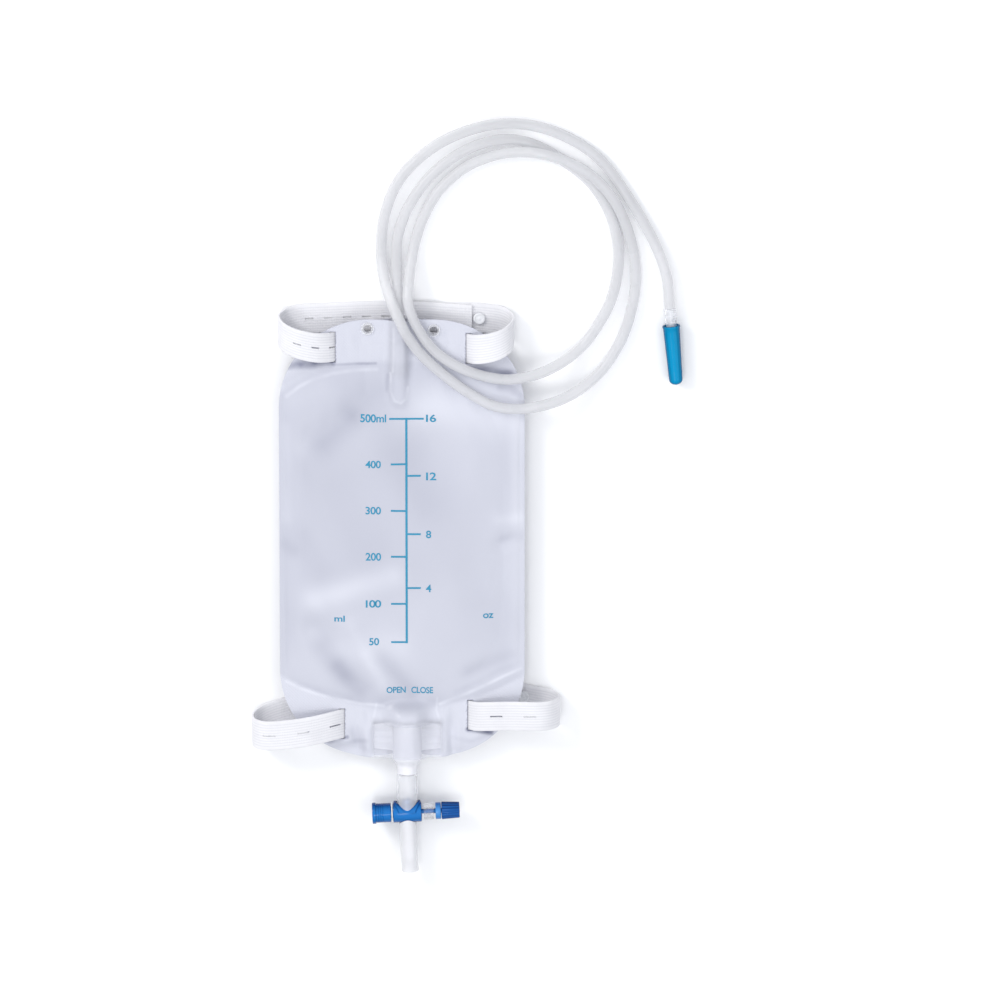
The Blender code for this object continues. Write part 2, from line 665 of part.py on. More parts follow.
def button(name, place, material, parent):
    # A low stud with a domed head
    profile = [(0.0, 0.0), (0.0, BUTTON_RADIUS * 0.7), (BUTTON_HEIGHT * 0.45, BUTTON_RADIUS)]
    profile += [(BUTTON_HEIGHT * 0.75, BUTTON_RADIUS * 0.95), (BUTTON_HEIGHT, BUTTON_RADIUS * 0.6)]
    profile += [(BUTTON_HEIGHT, 0.0)]
    piece = turned(name, profile, 14, "Y", place, material, parent)
    piece.rotation_euler = (math.pi / 2, 0.0, 0.0)
    return piece


# Ports

def inlet_port(material, parent):
    # A sleeve with a blunt nose, open right through for the flow
    top = HALF_LENGTH + INLET_STAND_OUT
    nose = top - INLET_LENGTH
    bore = TUBE_RADIUS + GAP
    profile = [(top, bore), (top, INLET_RADIUS - FINE_EDGE), (top - 0.0004, INLET_RADIUS)]
    profile += [(nose + 0.0018, INLET_RADIUS), (nose + 0.0005, INLET_RADIUS - 0.0006)]
    profile += [(nose, INLET_RADIUS - 0.0016), (nose, INLET_NOSE_HOLE)]
    profile += [(nose + 0.0020, INLET_NOSE_HOLE), (nose + 0.0040, bore)]
    return turned("inlet_port", profile, 20, "Y", (INLET_X, 0.0, MID), material, parent)


def anti_reflux_valve(material, parent):
    # A film sleeve round the port, which flattens to a mouth inside the chamber
    half = VALVE_WIDTH / 2
    nose = HALF_LENGTH + INLET_STAND_OUT - INLET_LENGTH
    end = VALVE_TOP - VALVE_LENGTH
    stations = [VALVE_TOP, (VALVE_TOP + nose) / 2, nose - 0.0004]
    stations += [nose + (end - nose) * s for s in (0.35, 0.65, 1.0)]
    across = [half * s for s in (-1.0, -0.72, -0.45, -0.28, -0.14, 0.0, 0.14, 0.28, 0.45, 0.72, 1.0)]
    bm = bmesh.new()
    rings = []
    for y in stations:
        flat = fade(nose - y, 0.0, nose - end)
        peak = VALVE_RADIUS + (VALVE_MOUTH / 2 - VALVE_RADIUS) * flat
        outer = [max(tent(x, peak, 1.10 * VALVE_RADIUS), VALVE_MOUTH / 2) for x in across]
        ring = []
        for grow in (0.0, VALVE_FILM):
            inset = [x * (half - grow) / half for x in across]
            upper = [(x, h - grow * 0.7) for x, h in zip(inset, outer)]
            lower = [(x, -h) for x, h in reversed(upper)]
            ring.append([bm.verts.new((x, y, h)) for x, h in upper + lower])
        rings.append(ring)
    for first, second in zip(rings, rings[1:]):
        for layer in (0, 1):
            skin_loops(bm, first[layer], second[layer])
    skin_loops(bm, rings[0][0], rings[0][1])
    skin_loops(bm, rings[-1][0], rings[-1][1])
    piece = make_object("anti_reflux_valve", bm, material, parent)
    piece.location = (INLET_X, 0.0, MID)
    return piece


def skin_loops(bm, first, second):
    for i in range(len(first)):
        j = (i + 1) % len(first)
        bm.faces.new((first[i], first[j], second[j], second[i]))


def outlet_port(material, parent):
    # Wide tube, taper and neck, open right through
    end_wide = PORT_RIM_Y - PORT_WIDE_LENGTH
    end_taper = end_wide - PORT_TAPER
    end = end_taper - PORT_NECK_LENGTH
    wide_bore = PORT_RADIUS - PORT_WALL
    seat = CLEAR_BORE + GAP
    profile = [(PORT_RIM_Y, wide_bore), (PORT_RIM_Y, PORT_RADIUS - EDGE)]
    profile += [(PORT_RIM_Y - EDGE, PORT_RADIUS), (end_wide, PORT_RADIUS)]
    profile += [(end_wide - PORT_TAPER * 0.5, PORT_RADIUS - (PORT_RADIUS - CLEAR_RADIUS) * 0.68)]
    profile += [(end_taper, CLEAR_RADIUS), (end, CLEAR_RADIUS), (end, seat)]
    profile += [(end + CLEAR_SPIGOT + GAP, seat), (end_wide, wide_bore)]
    port = turned("outlet_port", profile, 24, "Y", (OUTLET_X, 0.0, MID), material, parent)
    wings = turned_wings(parent)
    hollow = cutter_rod("wing_bore_cutter", wide_bore, end_wide + FINE_EDGE, PORT_RIM_Y + 0.002,
                        "Y", (OUTLET_X, 0.0, MID), parent)
    boolean(wings, [hollow], "DIFFERENCE")
    boolean(port, [wings], "UNION")
    return port


def turned_wings(parent):
    # Flat welding wings, thick at the tube and thin at their ends
    half = WING_SPAN / 2
    root = PORT_RADIUS - PORT_WALL / 2
    top = PORT_RIM_Y - FINE_EDGE
    bottom = top - WING_LENGTH
    bm = bmesh.new()
    rings = []
    for x, thick, trim in ((-half, WING_TIP, 0.0015), (-root, WING_ROOT, 0.0), (root, WING_ROOT, 0.0),
                           (half, WING_TIP, 0.0015)):
        corners = ((top - trim, -thick), (top - trim, thick), (bottom + trim, thick))
        corners += ((bottom + trim, -thick),)
        rings.append([bm.verts.new((x, y, z)) for y, z in corners])
    for first, second in zip(rings, rings[1:]):
        skin_loops(bm, first, second)
    bm.faces.new(rings[0])
    bm.faces.new(rings[-1])
    piece = make_object("wing_blank", bm, GUIDE, parent, smooth=False)
    piece.location = (OUTLET_X, 0.0, MID)
    return piece


def outlet_tube(material, parent):
    # Clear tube: spigot into the port above, fish-mouth seat on the tap's barrel below
    top = PORT_RIM_Y - PORT_WIDE_LENGTH - PORT_TAPER - PORT_NECK_LENGTH - GAP
    bottom = TAP_AXIS_Y
    spigot_bore = CLEAR_BORE - CLEAR_SPIGOT_WALL
    profile = [(top + CLEAR_SPIGOT, spigot_bore), (top + CLEAR_SPIGOT, CLEAR_BORE - FINE_EDGE)]
    profile += [(top + CLEAR_SPIGOT - 0.0006, CLEAR_BORE), (top, CLEAR_BORE), (top, CLEAR_RADIUS)]
    profile += [(bottom, CLEAR_RADIUS), (bottom, CLEAR_BORE), (top - 0.0010, CLEAR_BORE)]
    profile += [(top, spigot_bore)]
    tube = turned("outlet_tube", profile, 24, "Y", (OUTLET_X, 0.0, MID), material, parent)
    mouth = cutter_rod("tube_mouth_cutter", BARREL_RADIUS + GAP, -0.012, 0.012, "X", (0.0, 0.0, 0.0), parent)
    mouth.location = (OUTLET_X, TAP_AXIS_Y, MID)
    mouth.rotation_euler = (0.0, 0.0, TAP_ANGLE)
    boolean(tube, [mouth], "DIFFERENCE")
    return tube


# Tap. Its own frame: X along the barrel, Y up the flow, origin where they cross.

def tap_body(material, frame):
    half = BARREL_LENGTH / 2
    edge = 0.0004
    profile = [(-half, BARREL_BORE), (-half, BARREL_RADIUS - edge), (-half + edge, BARREL_RADIUS)]
    profile += [(half - edge, BARREL_RADIUS), (half, BARREL_RADIUS - edge), (half, BARREL_BORE)]
    body = turned("tap_body", profile, 24, "X", (0.0, 0.0, 0.0), material, frame)
    inside = BARREL_BORE + FINE_EDGE
    blank = cutter_rod("saddle_blank", BARREL_RADIUS + SADDLE_RISE, -half + edge, half - edge, "X",
                       (0.0, 0.0, 0.0), frame)
    reach = CLEAR_RADIUS + 3 * GAP + SADDLE_RIM
    trim = cutter_rod("saddle_trim", reach, 0.001, 0.02, "Y", (0.0, 0.0, 0.0), frame)
    seat = cutter_rod("saddle_seat", CLEAR_RADIUS + 3 * GAP, 0.0, 0.02, "Y", (0.0, 0.0, 0.0), frame)
    bore = cutter_rod("saddle_bore", inside, -0.02, 0.02, "X", (0.0, 0.0, 0.0), frame)
    boolean(blank, [trim], "INTERSECT")
    boolean(blank, [seat, bore], "DIFFERENCE")
    boolean(body, [blank], "UNION")
    for way, name in ((1, "upper"), (-1, "lower")):
        tip = way * (BARREL_RADIUS + SPIGOT_LENGTH)
        start = way * inside
        rod = turned(f"{name}_spigot", [(start, 0.0), (start, TAP_SPIGOT), (tip, TAP_SPIGOT), (tip, 0.0)],
                     24, "Y", (0.0, 0.0, 0.0), GUIDE, frame)
        boolean(body, [rod], "UNION")
    reach = BARREL_RADIUS + SPIGOT_LENGTH + 0.001
    channel = cutter_rod("channel_cutter", CHANNEL_RADIUS, -reach, reach, "Y", (0.0, 0.0, 0.0), frame, 24)
    boolean(body, [channel], "DIFFERENCE")
    return body


SPOOL_LEFT = -(BARREL_LENGTH / 2 + GAP + WASHER + GAP)
COLLAR_START = BARREL_LENGTH / 2 + PLUNGER_STROKE + STROKE_SPARE
HEAD_START = SPOOL_LEFT - HEAD_LENGTH
SEAL_PLACES = (-0.0046, 0.0038)


def tap_plunger(material, frame):
    # Finger flange, head, spool with its seal grooves, neck and the peg of the knob
    flange = HEAD_START - FLANGE_LENGTH
    stem = LAND_RADIUS - SPOOL_STEM
    peg = COLLAR_START + COLLAR_LENGTH + GAP + KNOB_LENGTH * 0.6
    recess = HEAD_RADIUS - 0.0013
    profile = [(flange + FINGER_RECESS, 0.0), (flange + FINGER_RECESS, recess), (flange, recess)]
    profile += [(flange, FLANGE_RADIUS - EDGE), (flange + EDGE, FLANGE_RADIUS)]
    profile += [(HEAD_START - EDGE, FLANGE_RADIUS), (HEAD_START, HEAD_RADIUS)]
    profile += [(SPOOL_LEFT - FINE_EDGE, HEAD_RADIUS), (SPOOL_LEFT, HEAD_RADIUS - FINE_EDGE)]
    land = -BARREL_LENGTH / 2 + FINE_EDGE
    profile += [(SPOOL_LEFT, stem), (land, stem), (land, LAND_RADIUS)]
    for place in SEAL_PLACES:
        profile += [(place - GROOVE_WIDTH / 2, LAND_RADIUS), (place - GROOVE_WIDTH / 2, GROOVE_FLOOR)]
        profile += [(place + GROOVE_WIDTH / 2, GROOVE_FLOOR), (place + GROOVE_WIDTH / 2, LAND_RADIUS)]
    profile += [(LAND_END, LAND_RADIUS), (LAND_END, NECK_RADIUS), (peg - EDGE, NECK_RADIUS)]
    profile += [(peg, NECK_RADIUS - EDGE), (peg, 0.0)]
    return turned("tap_plunger", profile, 24, "X", (0.0, 0.0, 0.0), material, frame)


def ring_along_x(name, start, end, inner, outer, edge, material, frame, segments=24):
    profile = [(start, inner), (start, outer - edge), (start + edge, outer), (end - edge, outer)]
    profile += [(end, outer - edge), (end, inner)]
    return turned(name, profile, segments, "X", (0.0, 0.0, 0.0), material, frame)


def seal_ring(name, place, material, frame):
    profile = arc((place, SEAL_RING), SEAL_SECTION, 0.0, 2 * math.pi * 5 / 6, 5)
    return turned(name, profile, 20, "X", (0.0, 0.0, 0.0), material, frame)


def plunger_knob(material, frame):
    # Tapered knob with ribs along it, blind on its outer end
    start = COLLAR_START + COLLAR_LENGTH + GAP
    end = start + KNOB_LENGTH
    bm = bmesh.new()
    rings = []
    spread = 0.0005
    stations = ((start, KNOB_ROOT - spread), (start + spread, KNOB_ROOT), (end - spread, KNOB_TIP))
    stations += ((end, KNOB_TIP - spread),)
    for along, radius in stations:
        ring = []
        for i in range(KNOB_RIBS * 4):
            a = 2 * math.pi * i / (KNOB_RIBS * 4)
            r = radius - (KNOB_RIB_DEPTH if i % 4 in (2, 3) else 0.0)
            ring.append(bm.verts.new((along, r * math.cos(a), r * math.sin(a))))
        rings.append(ring)
    for first, second in zip(rings, rings[1:]):
        skin_loops(bm, first, second)
    bm.faces.new(rings[0])
    bm.faces.new(rings[-1])
    knob = make_object("plunger_knob", bm, material, frame)
    depth = KNOB_LENGTH * 0.6 + 2 * GAP
    hole = cutter_rod("knob_bore_cutter", NECK_RADIUS + GAP, start - 0.001, start + depth, "X",
                      (0.0, 0.0, 0.0), frame, 24)
    boolean(knob, [hole], "DIFFERENCE")
    return knob


def drain_nozzle(material, frame):
    # Soft spout with a rounded end and a fish-mouth seat under the barrel
    end = -NOZZLE_END
    rounding = (NOZZLE_RADIUS - NOZZLE_BORE) * 0.5
    profile = [(-0.002, NOZZLE_BORE), (-0.002, NOZZLE_RADIUS), (end + rounding, NOZZLE_RADIUS)]
    profile += arc((end + rounding, NOZZLE_RADIUS - rounding), rounding, math.pi / 2, math.pi, 4)[1:]
    profile += [(end, NOZZLE_BORE)]
    nozzle = turned("drain_nozzle", profile, 24, "Y", (0.0, 0.0, 0.0), material, frame)
    seat = cutter_rod("nozzle_seat_cutter", BARREL_RADIUS + GAP, -0.012, 0.012, "X", (0.0, 0.0, 0.0), frame)
    boolean(nozzle, [seat], "DIFFERENCE")
    return nozzle


# Tubing, connector and cap

def inlet_tubing(material, parent):
    points = evenly(smooth_route(ROUTE, 8), ROUTE_SPACING)
    curve = bpy.data.curves.new("inlet_tubing", "CURVE")
    curve.dimensions = "3D"
    curve.bevel_depth = TUBE_RADIUS
    curve.bevel_resolution = 2
    curve.use_fill_caps = True
    spline = curve.splines.new("POLY")
    spline.points.add(len(points) - 1)
    for target, point in zip(spline.points, points):
        target.co = (*point, 1.0)
    curve.materials.append(material)
    piece = bpy.data.objects.new("inlet_tubing", curve)
    bpy.context.collection.objects.link(piece)
    piece.parent = parent
    return piece


def tubing_connector(material, frame):
    # Frame: Y runs from the tube's end into the cap
    collar = CONNECTOR_COLLAR_LENGTH
    end = collar + CONNECTOR_TAPER_LENGTH
    profile = [(GAP, CONNECTOR_BORE), (GAP, CONNECTOR_COLLAR - EDGE), (GAP + EDGE, CONNECTOR_COLLAR)]
    profile += [(collar - EDGE, CONNECTOR_COLLAR), (collar, CONNECTOR_ROOT)]
    profile += [(end - 0.0005, CONNECTOR_TIP), (end, CONNECTOR_TIP - FINE_EDGE), (end, CONNECTOR_BORE)]
    return turned("tubing_connector", profile, 16, "Y", (0.0, 0.0, 0.0), material, frame)


def protective_cap(material, frame):
    # Deep cup with a thick rim and a rounded blind end, its mouth at the frame's origin
    inner_mouth = CAP_MOUTH - CAP_WALL
    inner_end = CAP_END - CAP_WALL
    dome = CAP_END * 0.8
    profile = [(0.0, inner_mouth), (0.0, CAP_MOUTH - FINE_EDGE), (0.0004, CAP_MOUTH)]
    profile += [(CAP_RIM, CAP_MOUTH), (CAP_RIM + EDGE, CAP_MOUTH - FINE_EDGE)]
    last = CAP_LENGTH - dome
    profile += [(last, CAP_END)]
    for i in range(1, 6):
        a = math.pi / 2 * i / 5
        profile.append((last + dome * math.sin(a), CAP_END * math.cos(a) if i < 5 else 0.0))
    profile += [(CAP_LENGTH - CAP_WALL, 0.0), (CAP_LENGTH - CAP_WALL - dome * 0.25, inner_end * 0.75)]
    profile += [(last, inner_end)]
    return turned("protective_cap", profile, 24, "Y", (0.0, 0.0, 0.0), material, frame)


clear_scene()
GUIDE = plastic("guide", (0.5, 0.5, 0.5), 0.5)
FILM_MATERIAL = plastic("frosted_film", (0.80, 0.81, 0.87), 0.32, 0.3, 0.6)
BACK_MATERIAL = plastic("frosted_back_film", (0.78, 0.79, 0.85), 0.35, 0.3, 0.7)
INK = plastic("print_ink", (0.03, 0.30, 0.47), 0.45)
ELASTIC = plastic("white_elastic", (0.90, 0.90, 0.91), 0.85)
BUTTON_PLASTIC = plastic("button_plastic", (0.86, 0.87, 0.88), 0.35)
CLEAR_MOULD = plastic("clear_moulding", (0.90, 0.91, 0.94), 0.15, 0.7, 0.7)
FROSTED_MOULD = plastic("frosted_moulding", (0.84, 0.85, 0.90), 0.30, 0.5, 0.8)
MILKY_TUBE = plastic("milky_tubing", (0.85, 0.86, 0.90), 0.25, 0.4, 0.85)
BLUE = plastic("royal_blue", (0.02, 0.14, 0.52), 0.22)
PALE_BLUE = plastic("pale_blue", (0.10, 0.30, 0.70), 0.22, 0.3)
DARK_BLUE = plastic("dark_blue", (0.01, 0.09, 0.36), 0.28)
CAP_BLUE = plastic("cap_blue", (0.0, 0.27, 0.62), 0.28)
RUBBER = plastic("white_silicone", (0.88, 0.88, 0.88), 0.45)
SOFT_CLEAR = plastic("soft_clear", (0.90, 0.91, 0.93), 0.30, 0.5, 0.8)

BAG = make_empty("bag_frame", (BAG_X, BAG_Y, 0.0))
FILM_CUTTERS = slot_cutters(BAG)

film("front_film", 1, FRONT_FILL, FILM_MATERIAL, BAG)
film("back_film", -1, BACK_FILL, BACK_MATERIAL, BAG)
scale_print(INK, BAG)
eyelet("hanging_eyelet_left", EYELET_LEFT, CLEAR_MOULD, BAG)
eyelet("hanging_eyelet_right", EYELET_RIGHT, CLEAR_MOULD, BAG)
inlet_port(CLEAR_MOULD, BAG)
anti_reflux_valve(SOFT_CLEAR, BAG)
outlet_port(FROSTED_MOULD, BAG)
outlet_tube(CLEAR_MOULD, BAG)

UPPER_SLITS = (UPPER_SLIT_LENGTH, UPPER_SLIT_PITCH, UPPER_SLIT_ROWS)
LOWER_SLITS = (LOWER_SLIT_LENGTH, LOWER_SLIT_PITCH, LOWER_SLIT_ROWS)
strap_solid("upper_strap", upper_strap_path(), UPPER_SLITS, ELASTIC, BAG)
strap_solid("lower_strap", lower_strap_path(), LOWER_SLITS, ELASTIC, BAG)
ON_BAND = STRAP_THICKNESS + GAP
button("upper_strap_button", (UPPER_SLOT_RIGHT[0] + 0.0062, UPPER_SLOT_RIGHT[1] + 0.0148, ON_BAND),
       BUTTON_PLASTIC, BAG)
button("lower_strap_button", (LOWER_SLOT_RIGHT[0] + 0.0297, LOWER_SLOT_RIGHT[1] + 0.0082, ON_BAND),
       BUTTON_PLASTIC, BAG)

TAP = make_empty("tap_frame", (OUTLET_X, TAP_AXIS_Y, MID), BAG, TAP_ANGLE)
tap_body(BLUE, TAP)
drain_nozzle(SOFT_CLEAR, TAP)
PLUNGER = make_empty("plunger_frame", (0.0, 0.0, 0.0), TAP)
tap_plunger(BLUE, PLUNGER)
ring_along_x("stop_washer", SPOOL_LEFT + GAP, SPOOL_LEFT + GAP + WASHER,
             LAND_RADIUS - SPOOL_STEM + GAP, HEAD_RADIUS, 0.5 * FINE_EDGE, RUBBER, PLUNGER)
for number, spot in enumerate(SEAL_PLACES, 1):
    seal_ring(f"seal_ring_{number}", spot, RUBBER, PLUNGER)
SLEEVE_LEFT = BARREL_LENGTH / 2 + SLEEVE_START
ring_along_x("plunger_sleeve", SLEEVE_LEFT, SLEEVE_LEFT + SLEEVE_LENGTH, NECK_RADIUS + GAP, LAND_RADIUS,
             FINE_EDGE, SOFT_CLEAR, PLUNGER)
ring_along_x("plunger_collar", COLLAR_START, COLLAR_START + COLLAR_LENGTH, NECK_RADIUS + GAP,
             COLLAR_RADIUS, EDGE, PALE_BLUE, PLUNGER)
plunger_knob(DARK_BLUE, PLUNGER)

inlet_tubing(MILKY_TUBE, BAG)
TUBE_END = ROUTE[-1]
FAR_END = make_empty("far_end_frame", TUBE_END, BAG, math.pi + CAP_ANGLE)
tubing_connector(CLEAR_MOULD, FAR_END)
CAP_FRAME = make_empty("cap_frame", (0.0, CONNECTOR_COLLAR_LENGTH + CAP_STAND_OFF, 0.0), FAR_END)
protective_cap(CAP_BLUE, CAP_FRAME)
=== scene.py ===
# Looks of the leg drainage bag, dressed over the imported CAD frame.
# Metres, +X to the right of the print, +Y toward the inlet, +Z up out of the print.

import bisect
import math

import bmesh
import bpy
from mathutils import Matrix, Vector, noise


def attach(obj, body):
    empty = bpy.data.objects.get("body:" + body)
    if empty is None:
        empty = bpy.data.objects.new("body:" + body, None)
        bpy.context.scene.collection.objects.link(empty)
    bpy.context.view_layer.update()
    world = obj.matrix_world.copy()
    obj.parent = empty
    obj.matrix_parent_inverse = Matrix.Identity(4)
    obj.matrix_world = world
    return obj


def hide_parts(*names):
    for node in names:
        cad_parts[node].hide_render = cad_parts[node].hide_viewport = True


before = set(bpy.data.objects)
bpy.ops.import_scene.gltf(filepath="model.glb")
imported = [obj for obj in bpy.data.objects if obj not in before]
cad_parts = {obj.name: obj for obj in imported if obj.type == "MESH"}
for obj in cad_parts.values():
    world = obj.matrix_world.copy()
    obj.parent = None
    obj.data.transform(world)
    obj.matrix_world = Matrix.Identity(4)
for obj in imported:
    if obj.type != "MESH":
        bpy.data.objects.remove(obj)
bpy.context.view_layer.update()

SCENE = bpy.context.scene

# Where the middle of the pocket stands from the part's origin
BAG_X = -0.002
BAG_Y = 0.029

# Gap that touching pieces keep
GAP = 0.0003

# Broken edges of the moulded pieces
EDGE = 0.0003
FINE_EDGE = 0.0002

# Film pocket
FILM = 0.00035
BAG_WIDTH = 0.135
BAG_LENGTH = 0.248
CORNER_RADIUS = 0.050
WELD_GAP = 0.0003
SIDE_WELD = 0.003
TOP_WELD = 0.0242
BOTTOM_WELD = 0.0287
TOP_SHOULDER = 0.0185
BOTTOM_SHOULDER = 0.0190
FRONT_FILL = 0.0062
BELLY_HEIGHT = 0.0006
RIPPLE = 0.0004

# Elastic straps and the slots that they pass through
STRAP_WIDTH = 0.0165
STRAP_THICKNESS = 0.0012
SLOT_WIDTH = 0.0042
# Each slot: how far it stands in from the film's side, and from its top or bottom end
UPPER_SLOT_LEFT = (BAG_WIDTH / -2 + 0.0301, BAG_LENGTH / 2 - 0.0154)
UPPER_SLOT_RIGHT = (BAG_WIDTH / 2 - 0.0312, BAG_LENGTH / 2 - 0.0163)
LOWER_SLOT_LEFT = (BAG_WIDTH / -2 + 0.0345, BAG_LENGTH / -2 + 0.0188)
LOWER_SLOT_RIGHT = (BAG_WIDTH / 2 - 0.0304, BAG_LENGTH / -2 + 0.0236)
SLOTS = (UPPER_SLOT_LEFT, UPPER_SLOT_RIGHT, LOWER_SLOT_LEFT, LOWER_SLOT_RIGHT)
UPPER_SLIT_LENGTH = 0.0046
UPPER_SLIT_PITCH = 0.0105
LOWER_SLIT_LENGTH = 0.0070
LOWER_SLIT_PITCH = 0.0187
SLIT_WIDTH = 0.0009
# Rows of slits: first and last, as distances along the band
UPPER_SLIT_ROWS = ((0.0475, 0.0895), (0.1275, 0.1485))
LOWER_SLIT_ROWS = ((0.0950, 0.1137), (0.1700, 0.2074), (0.3050, 0.3237))
STRAP_SLACK = 0.0002
SLOT_RUN = 0.0030
SLOT_DIP = 0.0022
BUTTON_RADIUS = 0.0033
BUTTON_HEIGHT = 0.0014

# Hanging eyelets
EYELET_BORE = 0.0021
EYELET_WALL = 0.0006
EYELET_FLANGE = 0.0037
EYELET_LIP = 0.0005
EYELET_LEFT = (-0.0187, BAG_LENGTH / 2 - 0.0050)
EYELET_RIGHT = (0.0176, BAG_LENGTH / 2 - 0.0060)
EYELETS = (EYELET_LEFT, EYELET_RIGHT)

# Inlet side
TUBE_RADIUS = 0.00295
INLET_X = -0.00165
INLET_WALL = 0.0006
INLET_LENGTH = 0.0345
INLET_STAND_OUT = 0.0020
INLET_NOSE_HOLE = 0.0016
VALVE_FILM = 0.0003
VALVE_WIDTH = 0.030
VALVE_TOP = BAG_LENGTH / 2 - 0.014
VALVE_LENGTH = 0.030
VALVE_MOUTH = 0.0007

# Outlet port and the clear tube below it
OUTLET_X = 0.0026
PORT_RADIUS = 0.0080
PORT_WALL = 0.0014
PORT_RIM_Y = BAG_LENGTH / -2 + 0.0202
PORT_WIDE_LENGTH = 0.0204
PORT_TAPER = 0.0051
PORT_NECK_LENGTH = 0.0042
WING_SPAN = 0.0400
WING_LENGTH = 0.0164
WING_ROOT = 0.0011
WING_TIP = 0.00025
CLEAR_RADIUS = 0.0056
CLEAR_WALL = 0.0013
CLEAR_SPIGOT = 0.0050
CLEAR_SPIGOT_WALL = 0.0009

# Push tap: barrel across the flow, spool inside it
TAP_AXIS_Y = BAG_LENGTH / -2 - 0.0319
TAP_ANGLE = math.radians(2.5)
BARREL_RADIUS = 0.0057
BARREL_BORE = 0.00495
BARREL_LENGTH = 0.0157
SADDLE_RISE = 0.0008
SADDLE_RIM = 0.0011
CHANNEL_RADIUS = 0.0021
SPIGOT_WALL = 0.0009
SPIGOT_LENGTH = 0.0016
SPOOL_PLAY = 0.00035
SPOOL_STEM = 0.0014
LAND_END = 0.0052
SEAL_SECTION = 0.0008
NECK_RADIUS = 0.00135
WASHER = 0.0006
HEAD_RADIUS = 0.00535
HEAD_LENGTH = 0.0082
FLANGE_RADIUS = 0.0059
FLANGE_LENGTH = 0.0022
FINGER_RECESS = 0.0030
SLEEVE_START = 0.0012
SLEEVE_LENGTH = 0.0056
COLLAR_RADIUS = 0.0047
COLLAR_LENGTH = 0.0030
PLUNGER_STROKE = 0.0073
STROKE_SPARE = 0.00045
KNOB_ROOT = 0.0049
KNOB_TIP = 0.00445
KNOB_LENGTH = 0.0100
KNOB_RIBS = 16
KNOB_RIB_DEPTH = 0.00035

# Drain nozzle
NOZZLE_RADIUS = 0.0047
NOZZLE_BORE = 0.0033
NOZZLE_END = 0.0339

# Connector and cap at the far end of the tubing
CONNECTOR_COLLAR = 0.0033
CONNECTOR_COLLAR_LENGTH = 0.0090
CONNECTOR_BORE = 0.0015
CONNECTOR_TAPER_LENGTH = 0.0190
CONNECTOR_ROOT = 0.0029
CONNECTOR_TIP = 0.0021
CAP_MOUTH = 0.00485
CAP_END = 0.00375
CAP_LENGTH = 0.0335
CAP_WALL = 0.0010
CAP_RIM = 0.0011
CAP_ANGLE = math.radians(5.0)
CAP_STAND_OFF = 0.0008

# Printed scale, with the heights of its ticks along the pocket
SCALE_X = 0.0025
SCALE_LINE = 0.0012
LEFT_TICK = 0.0080
RIGHT_TICK = 0.0072
TOP_TICK = 0.0090
LEFT_TICKS_Y = (0.0680, 0.0423, 0.0161, -0.0097, -0.0366, -0.0584)
RIGHT_TICKS_Y = (0.0680, 0.0357, 0.0031, -0.0275)

# Route of the tubing, from inside the inlet port to the connector.
# Heights are above the table; the rest is from the middle of the film's top end.
PATH = [
    (-0.00165, -0.0116, 0.0106), (-0.00165, -0.0040, 0.0106), (-0.00165, 0.0035, 0.0106),
    (-0.0020, 0.0130, 0.0090), (-0.0027, 0.0230, 0.0058), (-0.0029, 0.0340, 0.0034),
    (-0.0019, 0.0459, 0.0031), (0.0036, 0.0612, 0.0031), (0.0154, 0.0782, 0.0031),
    (0.0330, 0.0921, 0.0031), (0.0523, 0.0989, 0.0031), (0.0693, 0.0975, 0.0031),
    (0.0869, 0.0884, 0.0031), (0.1045, 0.0740, 0.0031), (0.1155, 0.0539, 0.0031),
    (0.1188, 0.0323, 0.0031), (0.1149, 0.0096, 0.0031), (0.1042, -0.0102, 0.0031),
    (0.0957, -0.0195, 0.0046), (0.0869, -0.0254, 0.0082), (0.0776, -0.0292, 0.0122),
    (0.0677, -0.0317, 0.0146), (0.0556, -0.0327, 0.0151), (0.0407, -0.0294, 0.0160),
    (0.0270, -0.0233, 0.0154), (0.0165, -0.0149, 0.0149), (0.0091, -0.0043, 0.0152),
    (0.0047, 0.0052, 0.0150), (0.0034, 0.0131, 0.0132), (0.0040, 0.0213, 0.0097),
    (0.0052, 0.0316, 0.0054), (0.0072, 0.0414, 0.0032), (0.0116, 0.0550, 0.0031),
    (0.0204, 0.0706, 0.0031), (0.0341, 0.0831, 0.0032), (0.0484, 0.0899, 0.0046),
    (0.0622, 0.0930, 0.0070), (0.0748, 0.0928, 0.0094), (0.0880, 0.0893, 0.0100),
    (0.1012, 0.0824, 0.0098), (0.1116, 0.0725, 0.0080), (0.1194, 0.0598, 0.0052),
    (0.1254, 0.0431, 0.0033), (0.1282, 0.0255, 0.0031), (0.1268, 0.0079, 0.0031),
    (0.1205, -0.0130, 0.0031), (0.1095, -0.0305, 0.0034), (0.0979, -0.0403, 0.0062),
    (0.0874, -0.0452, 0.0104), (0.0770, -0.0477, 0.0142), (0.0649, -0.0492, 0.0156),
    (0.0501, -0.0470, 0.0171), (0.0347, -0.0383, 0.0176), (0.0209, -0.0279, 0.0168),
    (0.0102, -0.0176, 0.0172), (0.0027, -0.0067, 0.0190), (-0.0014, 0.0019, 0.0190),
    (-0.0050, 0.0097, 0.0166), (-0.0082, 0.0181, 0.0116), (-0.0104, 0.0272, 0.0064),
    (-0.0112, 0.0380, 0.0034), (-0.0096, 0.0550, 0.0031), (-0.0033, 0.0729, 0.0031),
    (0.0077, 0.0870, 0.0031), (0.0253, 0.0995, 0.0031), (0.0484, 0.1072, 0.0031),
    (0.0704, 0.1072, 0.0031), (0.0913, 0.1001, 0.0031), (0.1095, 0.0870, 0.0031),
    (0.1251, 0.0652, 0.0031), (0.1359, 0.0465, 0.0036), (0.1422, 0.0325, 0.0047),
    (0.1456, 0.0202, 0.0051), (0.1469, 0.0052, 0.0051),
]
